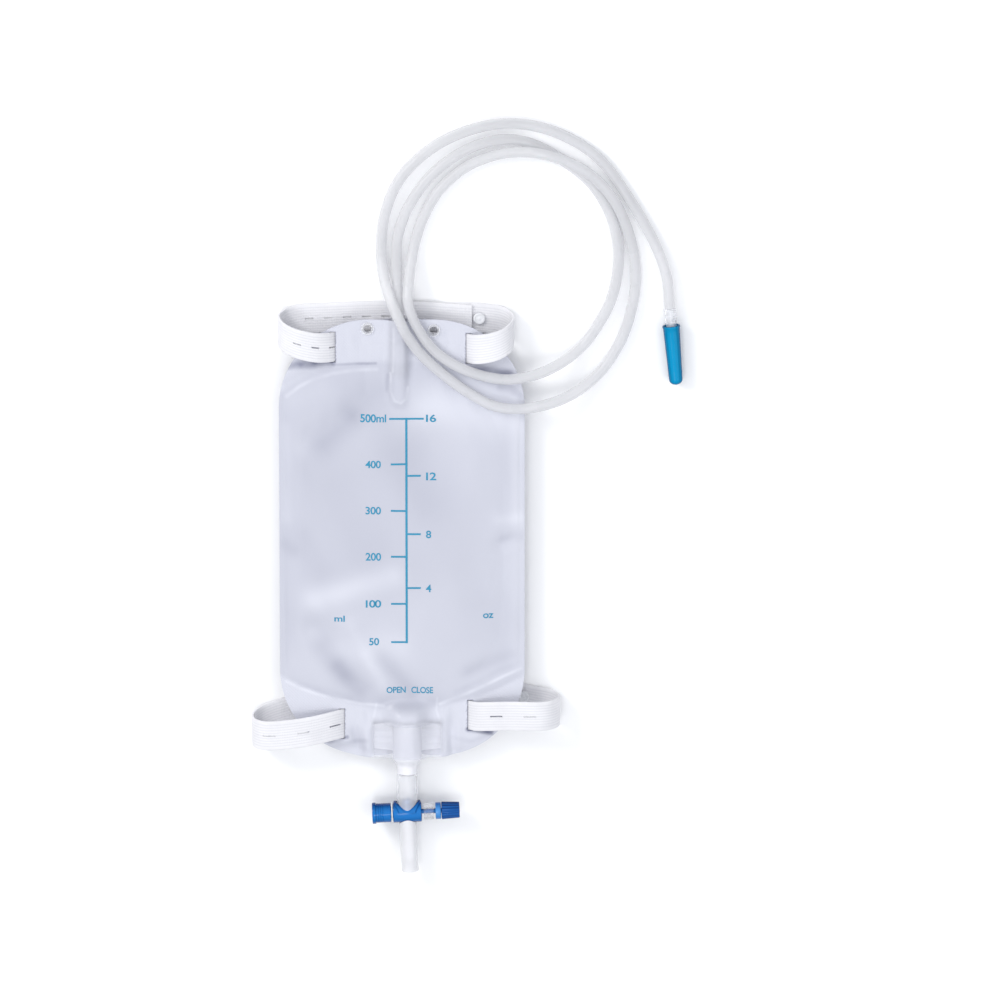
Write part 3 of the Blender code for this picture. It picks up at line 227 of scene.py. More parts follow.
ROUTE = [(x, y + BAG_LENGTH / 2, z) for x, y, z in PATH]

# How far the film leans out beside a port, against how high it stands over it
TENT_SPREAD = 1.15

# Sizes that follow from the ones above
INLET_RADIUS = TUBE_RADIUS + GAP + INLET_WALL
VALVE_RADIUS = INLET_RADIUS + GAP + VALVE_FILM
INLET_TENT = VALVE_RADIUS + GAP
OUTLET_TENT = PORT_RADIUS + GAP
BACK_DEPTH = WELD_GAP / 2 + OUTLET_TENT + FILM
# The middle plane stands as high as the port, the film and one strap below it need
MID = BACK_DEPTH + GAP + STRAP_THICKNESS + GAP
BACK_FILL = MID - BELLY_HEIGHT - FILM - WELD_GAP / 2 - RIPPLE
HALF_WIDTH = BAG_WIDTH / 2
HALF_LENGTH = BAG_LENGTH / 2
EYELET_STACK = WELD_GAP / 2 + FILM + 1.5 * GAP
CLEAR_BORE = CLEAR_RADIUS - CLEAR_WALL
TAP_SPIGOT = CHANNEL_RADIUS + SPIGOT_WALL
LAND_RADIUS = BARREL_BORE - SPOOL_PLAY
SEAL_RING = BARREL_BORE - GAP - SEAL_SECTION
GROOVE_FLOOR = SEAL_RING - SEAL_SECTION - GAP
GROOVE_WIDTH = 2 * (SEAL_SECTION + GAP)

BAG = Matrix.Translation((BAG_X, BAG_Y, 0.0))
TAP = BAG @ Matrix.Translation((OUTLET_X, TAP_AXIS_Y, MID)) @ Matrix.Rotation(TAP_ANGLE, 4, "Z")
FAR_END = BAG @ Matrix.Translation(ROUTE[-1]) @ Matrix.Rotation(math.pi + CAP_ANGLE, 4, "Z")
CAP_FRAME = FAR_END @ Matrix.Translation((0.0, CONNECTOR_COLLAR_LENGTH + CAP_STAND_OFF, 0.0))
HOLDER = SCENE.collection


# Shader nodes

def feed(node, inputs):
    # A value, or another node's output, on each named input
    for name, value in inputs.items():
        if isinstance(value, bpy.types.NodeSocket):
            node.id_data.links.new(value, node.inputs[name])
        else:
            node.inputs[name].default_value = value


def add(tree, kind, inputs, **settings):
    # A new node of a kind, with its settings and what its inputs take
    node = tree.nodes.new("ShaderNode" + kind)
    for name, value in settings.items():
        setattr(node, name, value)
    feed(node, inputs)
    return node


def source(node, socket):
    # The output that feeds an input
    return node.inputs[socket].links[0].from_socket


def maths(tree, operation, *values):
    # What one arithmetic node gives
    return add(tree, "Math", dict(enumerate(values)), operation=operation).outputs["Value"]


def attribute(tree, name):
    # A number that the mesh carries at each of its points
    return add(tree, "Attribute", {}, attribute_name=name).outputs["Fac"]


def mixed(tree, share, first, second, **settings):
    # Colour between two others
    inputs = {"Factor": share, "A": first, "B": second}
    return add(tree, "Mix", inputs, data_type="RGBA", **settings).outputs["Result"]


# Camera and light

PIXEL = 0.00055
TILT = math.radians(14)
CAMERA_DISTANCE = 6.0
# The photograph's side in pixels, and the pixel where it shows the pocket's middle
PHOTO_SIZE = 1000
POCKET_PIXEL = (402, 539)
# Height of the front film's belly, where the print and the folds lie
FILM_TOP = MID + 0.0042
LIGHTS_AIM = (0.0, 0.05, 0.0)


def photo_point(px, py, height):
    # The point of the model, at that height, that the photograph shows at a pixel
    x = (px - POCKET_PIXEL[0]) * PIXEL + BAG_X
    y = BAG_Y + ((POCKET_PIXEL[1] - py) * PIXEL + (height - MID) * math.sin(TILT)) / math.cos(TILT)
    return Vector((x, y, height))


camera_data = bpy.data.cameras.new("camera")
camera_data.sensor_width = 36.0
camera_data.lens = camera_data.sensor_width * CAMERA_DISTANCE / (PHOTO_SIZE * PIXEL)
camera_data.clip_end = 60.0
camera = bpy.data.objects.new("camera", camera_data)
view_line = Vector((0.0, math.sin(TILT), math.cos(TILT)))
camera.location = photo_point(PHOTO_SIZE / 2, PHOTO_SIZE / 2, MID) + CAMERA_DISTANCE * view_line
camera.rotation_euler = (-TILT, 0.0, 0.0)
HOLDER.objects.link(camera)
SCENE.camera = camera

SCENE.view_settings.view_transform = "Standard"
world = bpy.data.worlds.new("studio")
world.use_nodes = True
# A bright ceiling that darkens toward the horizon
sky = add(world.node_tree, "TexCoord", {}).outputs["Generated"]
upward = add(world.node_tree, "SeparateXYZ", {"Vector": sky}).outputs["Z"]
dome = add(world.node_tree, "MapRange", {"Value": upward, "From Max": 0.9, "To Min": 0.28, "To Max": 1.12})
feed(world.node_tree.nodes["Background"],
     {"Color": (0.94, 0.96, 1.0, 1.0), "Strength": dome.outputs["Result"]})
SCENE.world = world


def softbox(name, location, size, power, colour):
    data = bpy.data.lights.new(name, "AREA")
    data.shape = "DISK"
    data.size = size
    data.energy = power
    data.color = colour
    lamp = bpy.data.objects.new(name, data)
    lamp.location = location
    lamp.rotation_euler = (Vector(LIGHTS_AIM) - Vector(location)).to_track_quat("-Z", "Y").to_euler()
    HOLDER.objects.link(lamp)


softbox("key_light", (-0.85, 0.75, 0.80), 0.50, 7.0, (1.0, 0.99, 0.97))
softbox("fill_light", (0.95, -0.35, 1.1), 0.9, 2.6, (0.96, 0.98, 1.0))
softbox("sheen_light", (-0.22, -0.36, 1.45), 0.45, 2.6, (1.0, 1.0, 1.0))


# Curves and forms that the CAD part shares

def arc(centre, radius, start, end, steps):
    # Points on an arc of a profile, in (along, radius) pairs
    angles = [start + (end - start) * i / steps for i in range(steps + 1)]
    return [(centre[0] + radius * math.cos(a), centre[1] + radius * math.sin(a)) for a in angles]


def turned_mesh(profile, segments, axis):
    # A closed profile of (along, radius) points, turned about the X or the Y axis
    bm = bmesh.new()
    rings = []
    turns = [2 * math.pi * i / segments for i in range(segments)]
    for along, radius in profile:
        around = [(0, 0)] if radius < 1e-7 else [(radius * math.cos(a), radius * math.sin(a)) for a in turns]
        rings.append([bm.verts.new((along, u, v) if axis == "X" else (u, along, v)) for u, v in around])
    for first, second in zip(rings, rings[1:] + rings[:1]):
        if len(first) == 1 and len(second) == 1:
            continue
        for i in range(segments):
            j = (i + 1) % segments
            corners = [first[i % len(first)], first[j % len(first)]]
            corners += [second[j % len(second)], second[i % len(second)]]
            bm.faces.new(list(dict.fromkeys(corners)))
    return bm


def smooth_route(points, steps):
    # Catmull-Rom curve through every point
    ends = [points[0]] + list(points) + [points[-1]]
    curve = []
    for a, b, c, d in zip(ends, ends[1:], ends[2:], ends[3:]):
        a, b, c, d = Vector(a), Vector(b), Vector(c), Vector(d)
        for i in range(steps):
            t = i / steps
            bend = (2 * a - 5 * b + 4 * c - d) * t * t + (3 * b - a - 3 * c + d) * t ** 3
            curve.append((2 * b + (c - a) * t + bend) / 2)
    curve.append(Vector(points[-1]))
    return curve


def running_lengths(points):
    # How far along the curve each of its points is
    lengths = [0.0]
    for a, b in zip(points, points[1:]):
        lengths.append(lengths[-1] + (b - a).length)
    return lengths


def along_path(points, lengths, distance):
    # The point of the curve at a distance along it
    k = max(0, bisect.bisect_right(lengths, distance, 0, len(lengths) - 1) - 1)
    share = (distance - lengths[k]) / (lengths[k + 1] - lengths[k])
    return points[k].lerp(points[k + 1], min(max(share, 0.0), 1.0))


def evenly(points, spacing):
    # The same curve, with points an even distance apart
    lengths = running_lengths(points)
    count = max(2, round(lengths[-1] / spacing))
    return [along_path(points, lengths, lengths[-1] * i / count) for i in range(count + 1)]


# Form of the film pocket

def half_width(y):
    # Half the film's width at a place along it
    rise = abs(y) - (HALF_LENGTH - CORNER_RADIUS)
    if rise <= 0:
        return HALF_WIDTH
    reach = CORNER_RADIUS ** 2 - min(rise, CORNER_RADIUS) ** 2
    return HALF_WIDTH - CORNER_RADIUS + math.sqrt(max(reach, 0.0))


def chamber_ends(x):
    # Where the chamber's weld lines lie at its top and its bottom
    side = min(abs(x) / HALF_WIDTH, 1.0)
    top = HALF_LENGTH - TOP_WELD - TOP_SHOULDER * side ** 3
    return top, BOTTOM_WELD - HALF_LENGTH + BOTTOM_SHOULDER * side ** 2.2


def pillow(x, y):
    # 0 on the chamber's weld line, 1 in its middle
    across = abs(x) / (HALF_WIDTH - SIDE_WELD)
    top, bottom = chamber_ends(x)
    along = (2 * y - top - bottom) / (top - bottom)
    if across >= 1 or abs(along) >= 1:
        return 0.0
    return (1 - across ** 2.5) ** 0.6 * (1 - along ** 4) ** 0.7


def tent(distance, height, reach):
    # The film's rise over a tube that it is welded round
    return height / (1 + (distance / reach) ** 4)


def fade(value, start, end):
    # 0 up to the start, 1 from the end on, and smooth between them
    t = min(max((value - start) / (end - start), 0.0), 1.0)
    return t * t * (3 - 2 * t)


def port_lift(x, y):
    # The film's rise over the valve, the inlet port and the outlet port's tube and wings
    rise = INLET_RADIUS + GAP
    rise += (INLET_TENT - rise) * (1 - fade(y, VALVE_TOP + 0.001, VALVE_TOP + 0.004))
    inlet = tent(x - INLET_X, rise, TENT_SPREAD * INLET_TENT)
    beside = 1 - fade(abs(x - INLET_X), VALVE_WIDTH / 2 + 0.001, VALVE_WIDTH / 2 + 0.006)
    beside *= 1 - fade(y, VALVE_TOP, VALVE_TOP + 0.004)
    inlet = max(inlet, (VALVE_MOUTH / 2 + 2 * GAP) * beside)
    inlet *= fade(y, VALVE_TOP - VALVE_LENGTH - 0.012, VALVE_TOP - VALVE_LENGTH)
    outlet = tent(x - OUTLET_X, OUTLET_TENT, TENT_SPREAD * OUTLET_TENT)
    beside = 1 - fade(abs(x - OUTLET_X), WING_SPAN / 2 + 0.001, WING_SPAN / 2 + 0.006)
    outlet = max(outlet, (WING_ROOT + GAP) * beside)
    outlet *= fade(-y, -PORT_RIM_Y - 0.014, -PORT_RIM_Y - 0.003)
    return inlet + outlet


def ripple(x, y):
    # Broad slanting waves of a slack film
    wave = math.sin(95 * x + 60 * y) + 0.7 * math.sin(-70 * x + 85 * y + 1.3)
    return RIPPLE * 0.6 * wave


def film_inside(x, y, fill, slack=0.0):
    # Height of a film's inner face from the middle plane, over the fill or over a port
    chamber = pillow(x, y)
    puff = fill * chamber + ripple(x, y) * chamber - slack
    lift = port_lift(x, y)
    return WELD_GAP / 2 + (max(puff, 0.0) ** 4 + lift ** 4) ** 0.25


# Routes of the straps

LOW = STRAP_THICKNESS / 2
SECOND = LOW + STRAP_THICKNESS + GAP


def lift_off(point):
    # The elastic lies on the table and not in it
    return Vector((point.x, point.y, max(point.z, LOW)))


def under_film(x, y):
    # Height of a strap's middle where it spans the film's back, clear of the eyelets too
    deepest = EYELET_STACK + EYELET_LIP
    for dx in (-0.007, -0.0035, 0.0, 0.0035, 0.007):
        for dy in (-STRAP_WIDTH / 2, 0.0, STRAP_WIDTH / 2):
            deepest = max(deepest, film_inside(x + dx, y + dy, BACK_FILL) + FILM)
    return MID - deepest - GAP - STRAP_THICKNESS / 2 - STRAP_SLACK


def back_run(left, right):
    # From the left slot, behind the film and under the port, to the right slot
    inset = SLOT_WIDTH / 2
    start = left[0] + inset + SLOT_RUN
    end = right[0] - inset - SLOT_RUN
    count = 9
    points = [(left[0] + inset, left[1], MID - SLOT_DIP)]
    for i in range(count + 1):
        share = i / count
        x = start + (end - start) * share
        y = left[1] + (right[1] - left[1]) * share
        points.append((x, y, under_film(x, y)))
    points.append((right[0] - inset, right[1], MID - SLOT_DIP))
    return points


def points_from(place, *steps):
    # Points of a route: their X and Y from a place, and their height above the table
    return [(place[0] + dx, place[1] + dy, z) for dx, dy, z in steps]


def halfway(left, right):
    return (left[0] + right[0]) / 2, (left[1] + right[1]) / 2


def upper_strap_path():
    left, right = UPPER_SLOT_LEFT, UPPER_SLOT_RIGHT
    middle = halfway(left, right)
    points = points_from(
        right, (0.0022, 0.0143, SECOND), (-0.0103, 0.0151, SECOND), (-0.0233, 0.0161, SECOND))
    points += points_from(middle, (0.00405, 0.01565, SECOND - 0.0004), (-0.00545, 0.01565, LOW))
    points += points_from(
        left, (0.0174, 0.015, LOW), (-0.0026, 0.0142, LOW), (-0.0166, 0.0136, LOW),
        (-0.0251, 0.012, LOW + 0.0014), (-0.0291, 0.0102, LOW + 0.0062), (-0.0296, 0.0089, LOW + 0.0115),
        (-0.0266, 0.0064, LOW + 0.0162), (-0.0196, 0.0034, MID + 0.0078), (-0.0106, 0.001, MID + 0.0062),
        (-0.004, 0.0002, MID + 0.0032), (0.0, 0.0, MID))
    points += back_run(left, right)
    points += points_from(
        right, (0.0, 0.0, MID), (0.004, 0.0002, MID + 0.0032), (0.011, 0.0015, MID + 0.0060),
        (0.0182, 0.0038, MID + 0.0062), (0.0232, 0.0068, MID + 0.0030), (0.0249, 0.0093, MID - 0.0025),
        (0.0227, 0.0118, LOW + 0.0026), (0.0167, 0.0138, LOW), (0.0037, 0.0151, LOW), (-0.0123, 0.0151, LOW))
    return points + points_from(middle, (0.00955, 0.01465, LOW))


def lower_strap_path():
    left, right = LOWER_SLOT_LEFT, LOWER_SLOT_RIGHT
    points = points_from(
        right, (0.0249, 0.0099, SECOND), (0.0129, 0.0126, SECOND), (0.0029, 0.0148, SECOND),
        (-0.0061, 0.0166, SECOND - 0.0004), (-0.0151, 0.0178, LOW))
    points += points_from(halfway(left, right), (0.00395, 0.0213, LOW))
    points += points_from(
        left, (0.018, 0.0226, LOW), (-0.005, 0.0152, LOW), (-0.025, 0.0067, LOW),
        (-0.039, 0.0022, LOW + 0.0004), (-0.046, -0.0006, LOW + 0.0030), (-0.0494, -0.0026, LOW + 0.0085),
        (-0.0485, -0.004, LOW + 0.0150), (-0.0425, -0.0046, LOW + 0.0192), (-0.032, -0.004, MID + 0.0095),
        (-0.019, -0.0026, MID + 0.0078), (-0.009, -0.001, MID + 0.0052), (-0.004, -0.0002, MID + 0.0030),
        (0.0, 0.0, MID))
    points += back_run(left, right)
    points += points_from(
        right, (0.0, 0.0, MID), (0.004, 0.0, MID + 0.0030), (0.0109, 0.0008, MID + 0.0058),
        (0.0239, 0.0016, MID + 0.0082), (0.0369, 0.0018, MID + 0.0098), (0.0449, 0.0019, MID + 0.0070),
        (0.0492, 0.0024, MID + 0.0004), (0.0484, 0.0036, LOW + 0.0046), (0.0429, 0.0049, LOW + 0.0008),
        (0.0329, 0.0066, LOW), (0.0189, 0.0109, LOW), (-0.0011, 0.0154, LOW))
    return points


# Materials

def procedural(name, colour, other, scale, roughness, bump, bump_scale, **sockets):
    # Colour and roughness drift with soft noise, and a finer noise gives the grain
    material = bpy.data.materials.new(name)
    material.use_nodes = True
    tree = material.node_tree
    place = add(tree, "TexCoord", {}).outputs["Object"]
    drift = add(tree, "TexNoise", {"Scale": scale, "Detail": 4.0, "Vector": place}).outputs["Fac"]
    tint = add(tree, "ValToRGB", {"Fac": drift})
    for stop, position, paint in zip(tint.color_ramp.elements, (0.32, 0.68), (colour, other)):
        stop.position = position
        stop.color = (*paint, 1.0)
    gloss = add(tree, "MapRange", {"Value": drift, "From Min": 0.3, "From Max": 0.7,
                                   "To Min": roughness[0], "To Max": roughness[1]})
    grain = add(tree, "TexNoise", {"Scale": bump_scale, "Detail": 3.0, "Vector": place})
    relief = add(tree, "Bump", {"Strength": bump, "Distance": 0.0002, "Height": grain.outputs["Fac"]})
    shader = tree.nodes["Principled BSDF"]
    feed(shader, {"Base Color": tint.outputs["Color"], "Roughness": gloss.outputs["Result"],
                  "Normal": relief.outputs["Normal"]})
    feed(shader, {socket.replace("_", " "): value for socket, value in sockets.items()})
    return material


def painted_flank_shading(name, side, top, *details, **sockets):
    # Plastic with painted shading: the flanks of a round piece get a painted colour, darker or paler than its
    # top, that stands in for how the light falls on it
    near = [value * 1.12 for value in top]
    material = procedural(name, top, near, *details, **sockets)
    tree = material.node_tree
    shader = tree.nodes["Principled BSDF"]
    form = add(tree, "NewGeometry", {}).outputs["Normal"]
    # The painted flank colour is mixed in as the surface turns away from facing up: painted shade where it is
    # darker than the top, painted light where it is paler
    upward = add(tree, "SeparateXYZ", {"Vector": form}).outputs["Z"]
    share = add(tree, "MapRange", {"Value": upward, "From Min": 0.35, "From Max": 0.96}).outputs["Result"]
    feed(shader, {"Base Color": mixed(tree, share, (*side, 1.0), source(shader, "Base Color"))})
    return material


def stroke(tree, flat, points, width):
    # 1 along a line of several points across the film, and 0 beyond its width
    nearest = None
    for start, end in zip(points, points[1:]):
        a = photo_point(*start, FILM_TOP)
        along = photo_point(*end, FILM_TOP) - a
        a.z = along.z = 0.0
        offset = add(tree, "VectorMath", {0: flat, 1: a}, operation="SUBTRACT").outputs["Vector"]
        run = add(tree, "VectorMath", {0: offset, 1: along / along.length_squared}, operation="DOT_PRODUCT")
        share = add(tree, "Clamp", {"Value": run.outputs["Value"]}).outputs["Result"]
        reach = add(tree, "VectorMath", {0: along, "Scale": share}, operation="SCALE").outputs["Vector"]
        gap = add(tree, "VectorMath", {0: offset, 1: reach}, operation="DISTANCE").outputs["Value"]
        nearest = gap if nearest is None else maths(tree, "MINIMUM", nearest, gap)
    fall = {"Value": nearest, "From Max": width, "To Min": 1.0, "To Max": 0.0}
    return add(tree, "MapRange", fall, interpolation_type="SMOOTHSTEP").outputs["Result"]


def film_material(name, colour, pale, alpha, clear_alpha, painted_lines):
    # Frosted film: fine frosting all over, paler where it is welded or stands off the rear film; painted
    # highlights and painted shade along its creases and folds, and painted shadow under the straps
    near = [value * 1.05 for value in colour]
    material = procedural(name, colour, near, 22.0, (0.32, 0.44), 0.10, 900.0,
                          IOR=1.46, Specular_IOR_Level=0.5)
    tree = material.node_tree
    shader = tree.nodes["Principled BSDF"]
    place = add(tree, "TexCoord", {}).outputs["Object"]
    flat = add(tree, "VectorMath", {0: place, 1: (1.0, 1.0, 0.0)}, operation="MULTIPLY").outputs["Vector"]
    # The painted lines of light and shade come and go along their length
    fading = add(tree, "TexNoise", {"Scale": 75.0, "Vector": flat}).outputs["Fac"]
    uneven = add(tree, "MapRange", {"Value": fading, "From Min": 0.30, "From Max": 0.62, "To Min": 0.25})
    # Film tone with the painted fold shading that the mesh carries, then the painted lines of light and shade
    # on top
    total = attribute(tree, "tone_and_shading")
    for points, width, amount in painted_lines:
        line = maths(tree, "MULTIPLY", stroke(tree, flat, points, width), uneven.outputs["Result"])
        total = maths(tree, "MULTIPLY_ADD", line, amount, total)
    # Not clamped, so that the strongest painted shade, in the creases and under the straps, goes darker than
    # the film itself
    paint = mixed(tree, total, source(shader, "Base Color"), (*pale, 1.0), clamp_factor=False)
    # Crossed print of the sealing bars on the welds
    bars = []
    for direction in (45, -45):
        turn = add(tree, "Mapping", {"Vector": place, "Rotation": (0.0, 0.0, math.radians(direction))})
        wave = add(tree, "TexWave", {"Scale": 260.0, "Vector": turn.outputs["Vector"]})
        bars.append(wave.outputs["Fac"])
    height = maths(tree, "MULTIPLY", maths(tree, "MULTIPLY", *bars), attribute(tree, "weld"))
    pattern = add(tree, "Bump", {"Strength": 0.35, "Distance": 0.0002, "Height": height,
                                 "Normal": source(shader, "Normal")})
    # The film is clearer where it is welded on to the ports
    thin = {"Value": attribute(tree, "clear"), "To Min": alpha, "To Max": clear_alpha}
    feed(shader, {"Base Color": paint, "Normal": pattern.outputs["Normal"],
                  "Alpha": add(tree, "MapRange", thin).outputs["Result"]})
    return material


def knit_material(name):
    # Knitted elastic: rows of stitches across the band, and painted shade along the grooves between its ribs
    material = procedural(name, (0.74, 0.735, 0.765), (0.81, 0.805, 0.83), 70.0, (0.75, 0.90), 0.5, 2600.0,
                          Sheen_Weight=0.25, Sheen_Roughness=0.5)
    tree = material.node_tree
    shader = tree.nodes["Principled BSDF"]
    place = add(tree, "UVMap", {}, uv_map="band").outputs["UV"]
    rows = add(tree, "TexWave", {"Scale": 330.0, "Distortion": 0.8, "Vector": place}, bands_direction="X")
    courses = add(tree, "Bump", {"Strength": 0.25, "Distance": 0.0002, "Height": rows.outputs["Fac"],
                                 "Normal": source(shader, "Normal")})
    groove_shade_colour = (0.66, 0.66, 0.70, 1.0)
    paint = mixed(tree, attribute(tree, "groove_shade"), source(shader, "Base Color"), groove_shade_colour)
    feed(shader, {"Base Color": paint, "Normal": courses.outputs["Normal"]})
    return material


FLOOR = procedural("pale_floor", (0.93, 0.93, 0.94), (0.95, 0.95, 0.955), 3.0, (0.75, 0.85), 0.05, 700.0)
# Painted lines on the front film: painted highlights along its sharp creases, weld lines and the inlet's
# nose, painted shade beside them and painted shadow under the straps: pixels, width in metres and how much
# paler or darker they look
PAINTED_LINE_SHADING = (
    (((287, 398), (300, 388), (316, 380), (333, 375), (354, 372), (377, 371)), 0.0019, 0.24),
    (((334, 367), (352, 366), (376, 365)), 0.0014, -0.42),
    (((286, 367), (310, 366), (331, 364)), 0.0042, -1.50),
    (((472, 371), (492, 373), (509, 376)), 0.0044, -0.95),
    (((391, 374), (391, 392), (395, 401), (401, 403), (406, 399), (408, 388)), 0.0014, 0.30),
    (((394, 330), (394, 352), (393, 372)), 0.0012, 0.25), (((388, 376), (387, 392)), 0.0016, -0.16),
    (((500, 389), (510, 392), (520, 398)), 0.0032, -0.34),
    (((286, 384), (298, 376), (318, 371)), 0.0040, -0.14),
    (((286, 684), (300, 691), (318, 697), (340, 702), (360, 706), (383, 708)), 0.0016, 0.26),
    (((300, 686), (322, 692), (350, 700)), 0.0030, -0.08),
    (((521, 671), (504, 678), (486, 687), (466, 696), (440, 706)), 0.0017, 0.32),
    (((519, 665), (500, 672), (480, 683), (456, 694)), 0.0030, -0.12),
    (((437, 700), (436, 712), (440, 724)), 0.0012, 0.16),
    (((376, 706), (374, 716), (370, 728)), 0.0012, 0.16),
    (((322, 742), (340, 746), (366, 743)), 0.0024, -0.22),
    (((452, 740), (470, 744), (488, 738)), 0.0024, -0.16),
    (((468, 732), (478, 733), (491, 735)), 0.0025, -1.25), (((328, 745), (346, 740)), 0.0020, -0.90),
)
FILM_FRONT = film_material("film_front", (0.345, 0.355, 0.44), (0.76, 0.77, 0.845), 0.88, 0.26, PAINTED_LINE_SHADING)
FILM_BACK = film_material("film_back", (0.345, 0.355, 0.44), (0.76, 0.77, 0.845), 0.90, 0.50, ())
INK = procedural("scale_ink", (0.026, 0.24, 0.395), (0.034, 0.275, 0.445), 400.0, (0.4, 0.55), 0.08, 1500.0,
                 Specular_IOR_Level=0.3)
KNIT = knit_material("knitted_elastic")
THREAD = procedural("sewing_thread", (0.72, 0.72, 0.74), (0.84, 0.84, 0.86), 900.0, (0.7, 0.85), 0.6, 4000.0)
# The tubing and the soft spout get paler painted flanks, and the blue pieces darker painted flanks, as
# painted shading of round pieces
TUBING = painted_flank_shading("milky_tubing", (0.80, 0.80, 0.82), (0.67, 0.67, 0.69), 30.0, (0.22, 0.30), 0.04, 500.0,
                IOR=1.40, Alpha=0.58)
CLEAR = procedural("clear_moulding", (0.93, 0.935, 0.97), (0.96, 0.965, 0.99), 60.0, (0.05, 0.10), 0.05,
                   400.0, IOR=1.40, Transmission_Weight=0.45, Alpha=0.50)
FROSTED = procedural("frosted_moulding", (0.92, 0.92, 0.97), (0.96, 0.96, 1.0), 60.0, (0.16, 0.26), 0.08,
                     900.0, IOR=1.45, Transmission_Weight=0.10, Alpha=0.90)
SOFT = painted_flank_shading("soft_clear", (0.88, 0.88, 0.90), (0.86, 0.86, 0.885), 80.0, (0.10, 0.18), 0.06, 600.0,
              IOR=1.42, Transmission_Weight=0.15, Alpha=0.78)
ROYAL = painted_flank_shading("royal_blue", (0.0, 0.040, 0.19), (0.002, 0.145, 0.46), 90.0, (0.10, 0.20), 0.08, 700.0,
               IOR=1.5, Specular_IOR_Level=0.25, Coat_Weight=0.12, Coat_Roughness=0.06)
PALE = painted_flank_shading("pale_blue", (0.01, 0.12, 0.42), (0.05, 0.28, 0.70), 90.0, (0.12, 0.22), 0.08, 700.0,
              IOR=1.5, Transmission_Weight=0.20)
DARK = painted_flank_shading("dark_blue", (0.0, 0.022, 0.12), (0.001, 0.078, 0.31), 90.0, (0.16, 0.28), 0.12, 900.0,
              IOR=1.5, Specular_IOR_Level=0.20, Coat_Weight=0.08, Coat_Roughness=0.12)
CAP_BLUE = painted_flank_shading("cap_blue", (0.0, 0.095, 0.22), (0.0, 0.25, 0.48), 60.0, (0.14, 0.24), 0.06, 600.0,
                  IOR=1.5, Specular_IOR_Level=0.10, Coat_Weight=0.03, Coat_Roughness=0.10)
SLEEVE = procedural("clear_sleeve", (0.93, 0.94, 0.96), (0.96, 0.97, 0.99), 80.0, (0.08, 0.14), 0.05, 600.0,
                    IOR=1.40, Transmission_Weight=0.9, Alpha=0.55)
SILICONE = procedural("white_silicone", (0.80, 0.80, 0.81), (0.87, 0.87, 0.88), 200.0, (0.35, 0.5),
                      0.10, 900.0)
STUD = procedural("button_plastic", (0.76, 0.77, 0.80), (0.82, 0.83, 0.85), 150.0, (0.25, 0.35), 0.08, 900.0)


# Mesh work

def loose_object(name, bm, matrix=None):
    bmesh.ops.recalc_face_normals(bm, faces=bm.faces)
    mesh = bpy.data.meshes.new(name)
    bm.to_mesh(mesh)
    bm.free()
    if matrix is not None:
        mesh.transform(matrix)
    piece = bpy.data.objects.new(name, mesh)
    HOLDER.objects.link(piece)
    return piece


def carve(piece, steps):
    # Boolean steps, applied, with the cutters taken away after them
    for operation, cutter in steps:
        step = piece.modifiers.new(operation.lower(), "BOOLEAN")
        step.operation = operation
        step.solver = "EXACT"
        step.object = cutter
    bpy.context.view_layer.update()
    graph = bpy.context.evaluated_depsgraph_get()
    mesh = bpy.data.meshes.new_from_object(piece.evaluated_get(graph))
    piece.modifiers.clear()
    piece.data = mesh
    for _, cutter in steps:
        bpy.data.objects.remove(cutter, do_unlink=True)


def dress(piece, material, body, nodes=(), angle=35):
    # Shading, finish, body and the CAD nodes that the piece stands for
    mesh = piece.data
    mesh.materials.clear()
    mesh.materials.append(material)
    mesh.shade_smooth()
    mesh.set_sharp_from_angle(angle=math.radians(angle))
    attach(piece, body)
    if nodes:
        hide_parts(*nodes)
    return piece


def turned_object(name, profile, segments, axis, matrix):
    return loose_object(name, turned_mesh(profile, segments, axis), matrix)


def rod(radius, start, end, axis, matrix, segments=64):
    profile = [(start, 0.0), (start, radius), (end, radius), (end, 0.0)]
    return turned_object("cutter", profile, segments, axis, matrix)


def box_object(size, matrix):
    bm = bmesh.new()
    bmesh.ops.create_cube(bm, size=1.0, matrix=Matrix.Diagonal((*size, 1.0)))
    return loose_object("cutter", bm, matrix)


def loops(bm, first, second):
    # Faces between two closed loops
    for i in range(len(first)):
        j = (i + 1) % len(first)
        bm.faces.new((first[i], first[j], second[j], second[i]))


def lofted(bm, rings):
    # A closed solid through several loops
    for first, second in zip(rings, rings[1:]):
        loops(bm, first, second)
    bm.faces.new(rings[0])
    bm.faces.new(rings[-1])


def sheet_faces(bm, layers):
    # Faces of an inner and an outer grid, and of the rim between them
    for grid in layers:
        for first, second in zip(grid, grid[1:]):
            for c in range(len(first) - 1):
                bm.faces.new((first[c], first[c + 1], second[c + 1], second[c]))
    loops(bm, *[outline_of(grid) for grid in layers])


def outline_of(grid):
    right = [row[-1] for row in grid[1:-1]]
    left = [row[0] for row in reversed(grid[1:-1])]
    return grid[0] + right + list(reversed(grid[-1])) + left


def quarter(along, radius, size, start, steps=5):
    # Rounded corner of a turned profile, of a quarter turn from an angle in degrees
    return arc((along, radius), size, math.radians(start), math.radians(start - 90), steps)


def rings_round(first, pitch, count, radius, *offsets):
    # Shallow rings on a profile: each is a row of offsets along it and inward
    return [(first + pitch * i + along, radius - deep) for i in range(count) for along, deep in offsets]


# Inlet tubing: the free cord of the part

TUBE_STEP = 0.0035
CAP_FLUTES = 16
CAP_FLUTE_DEPTH = 0.0001
# Shares of the cap's length that the flutes reach to, and of its end radius that the dome is deep
FLUTE_REACH = 0.72
DOME_SHARE = 0.8


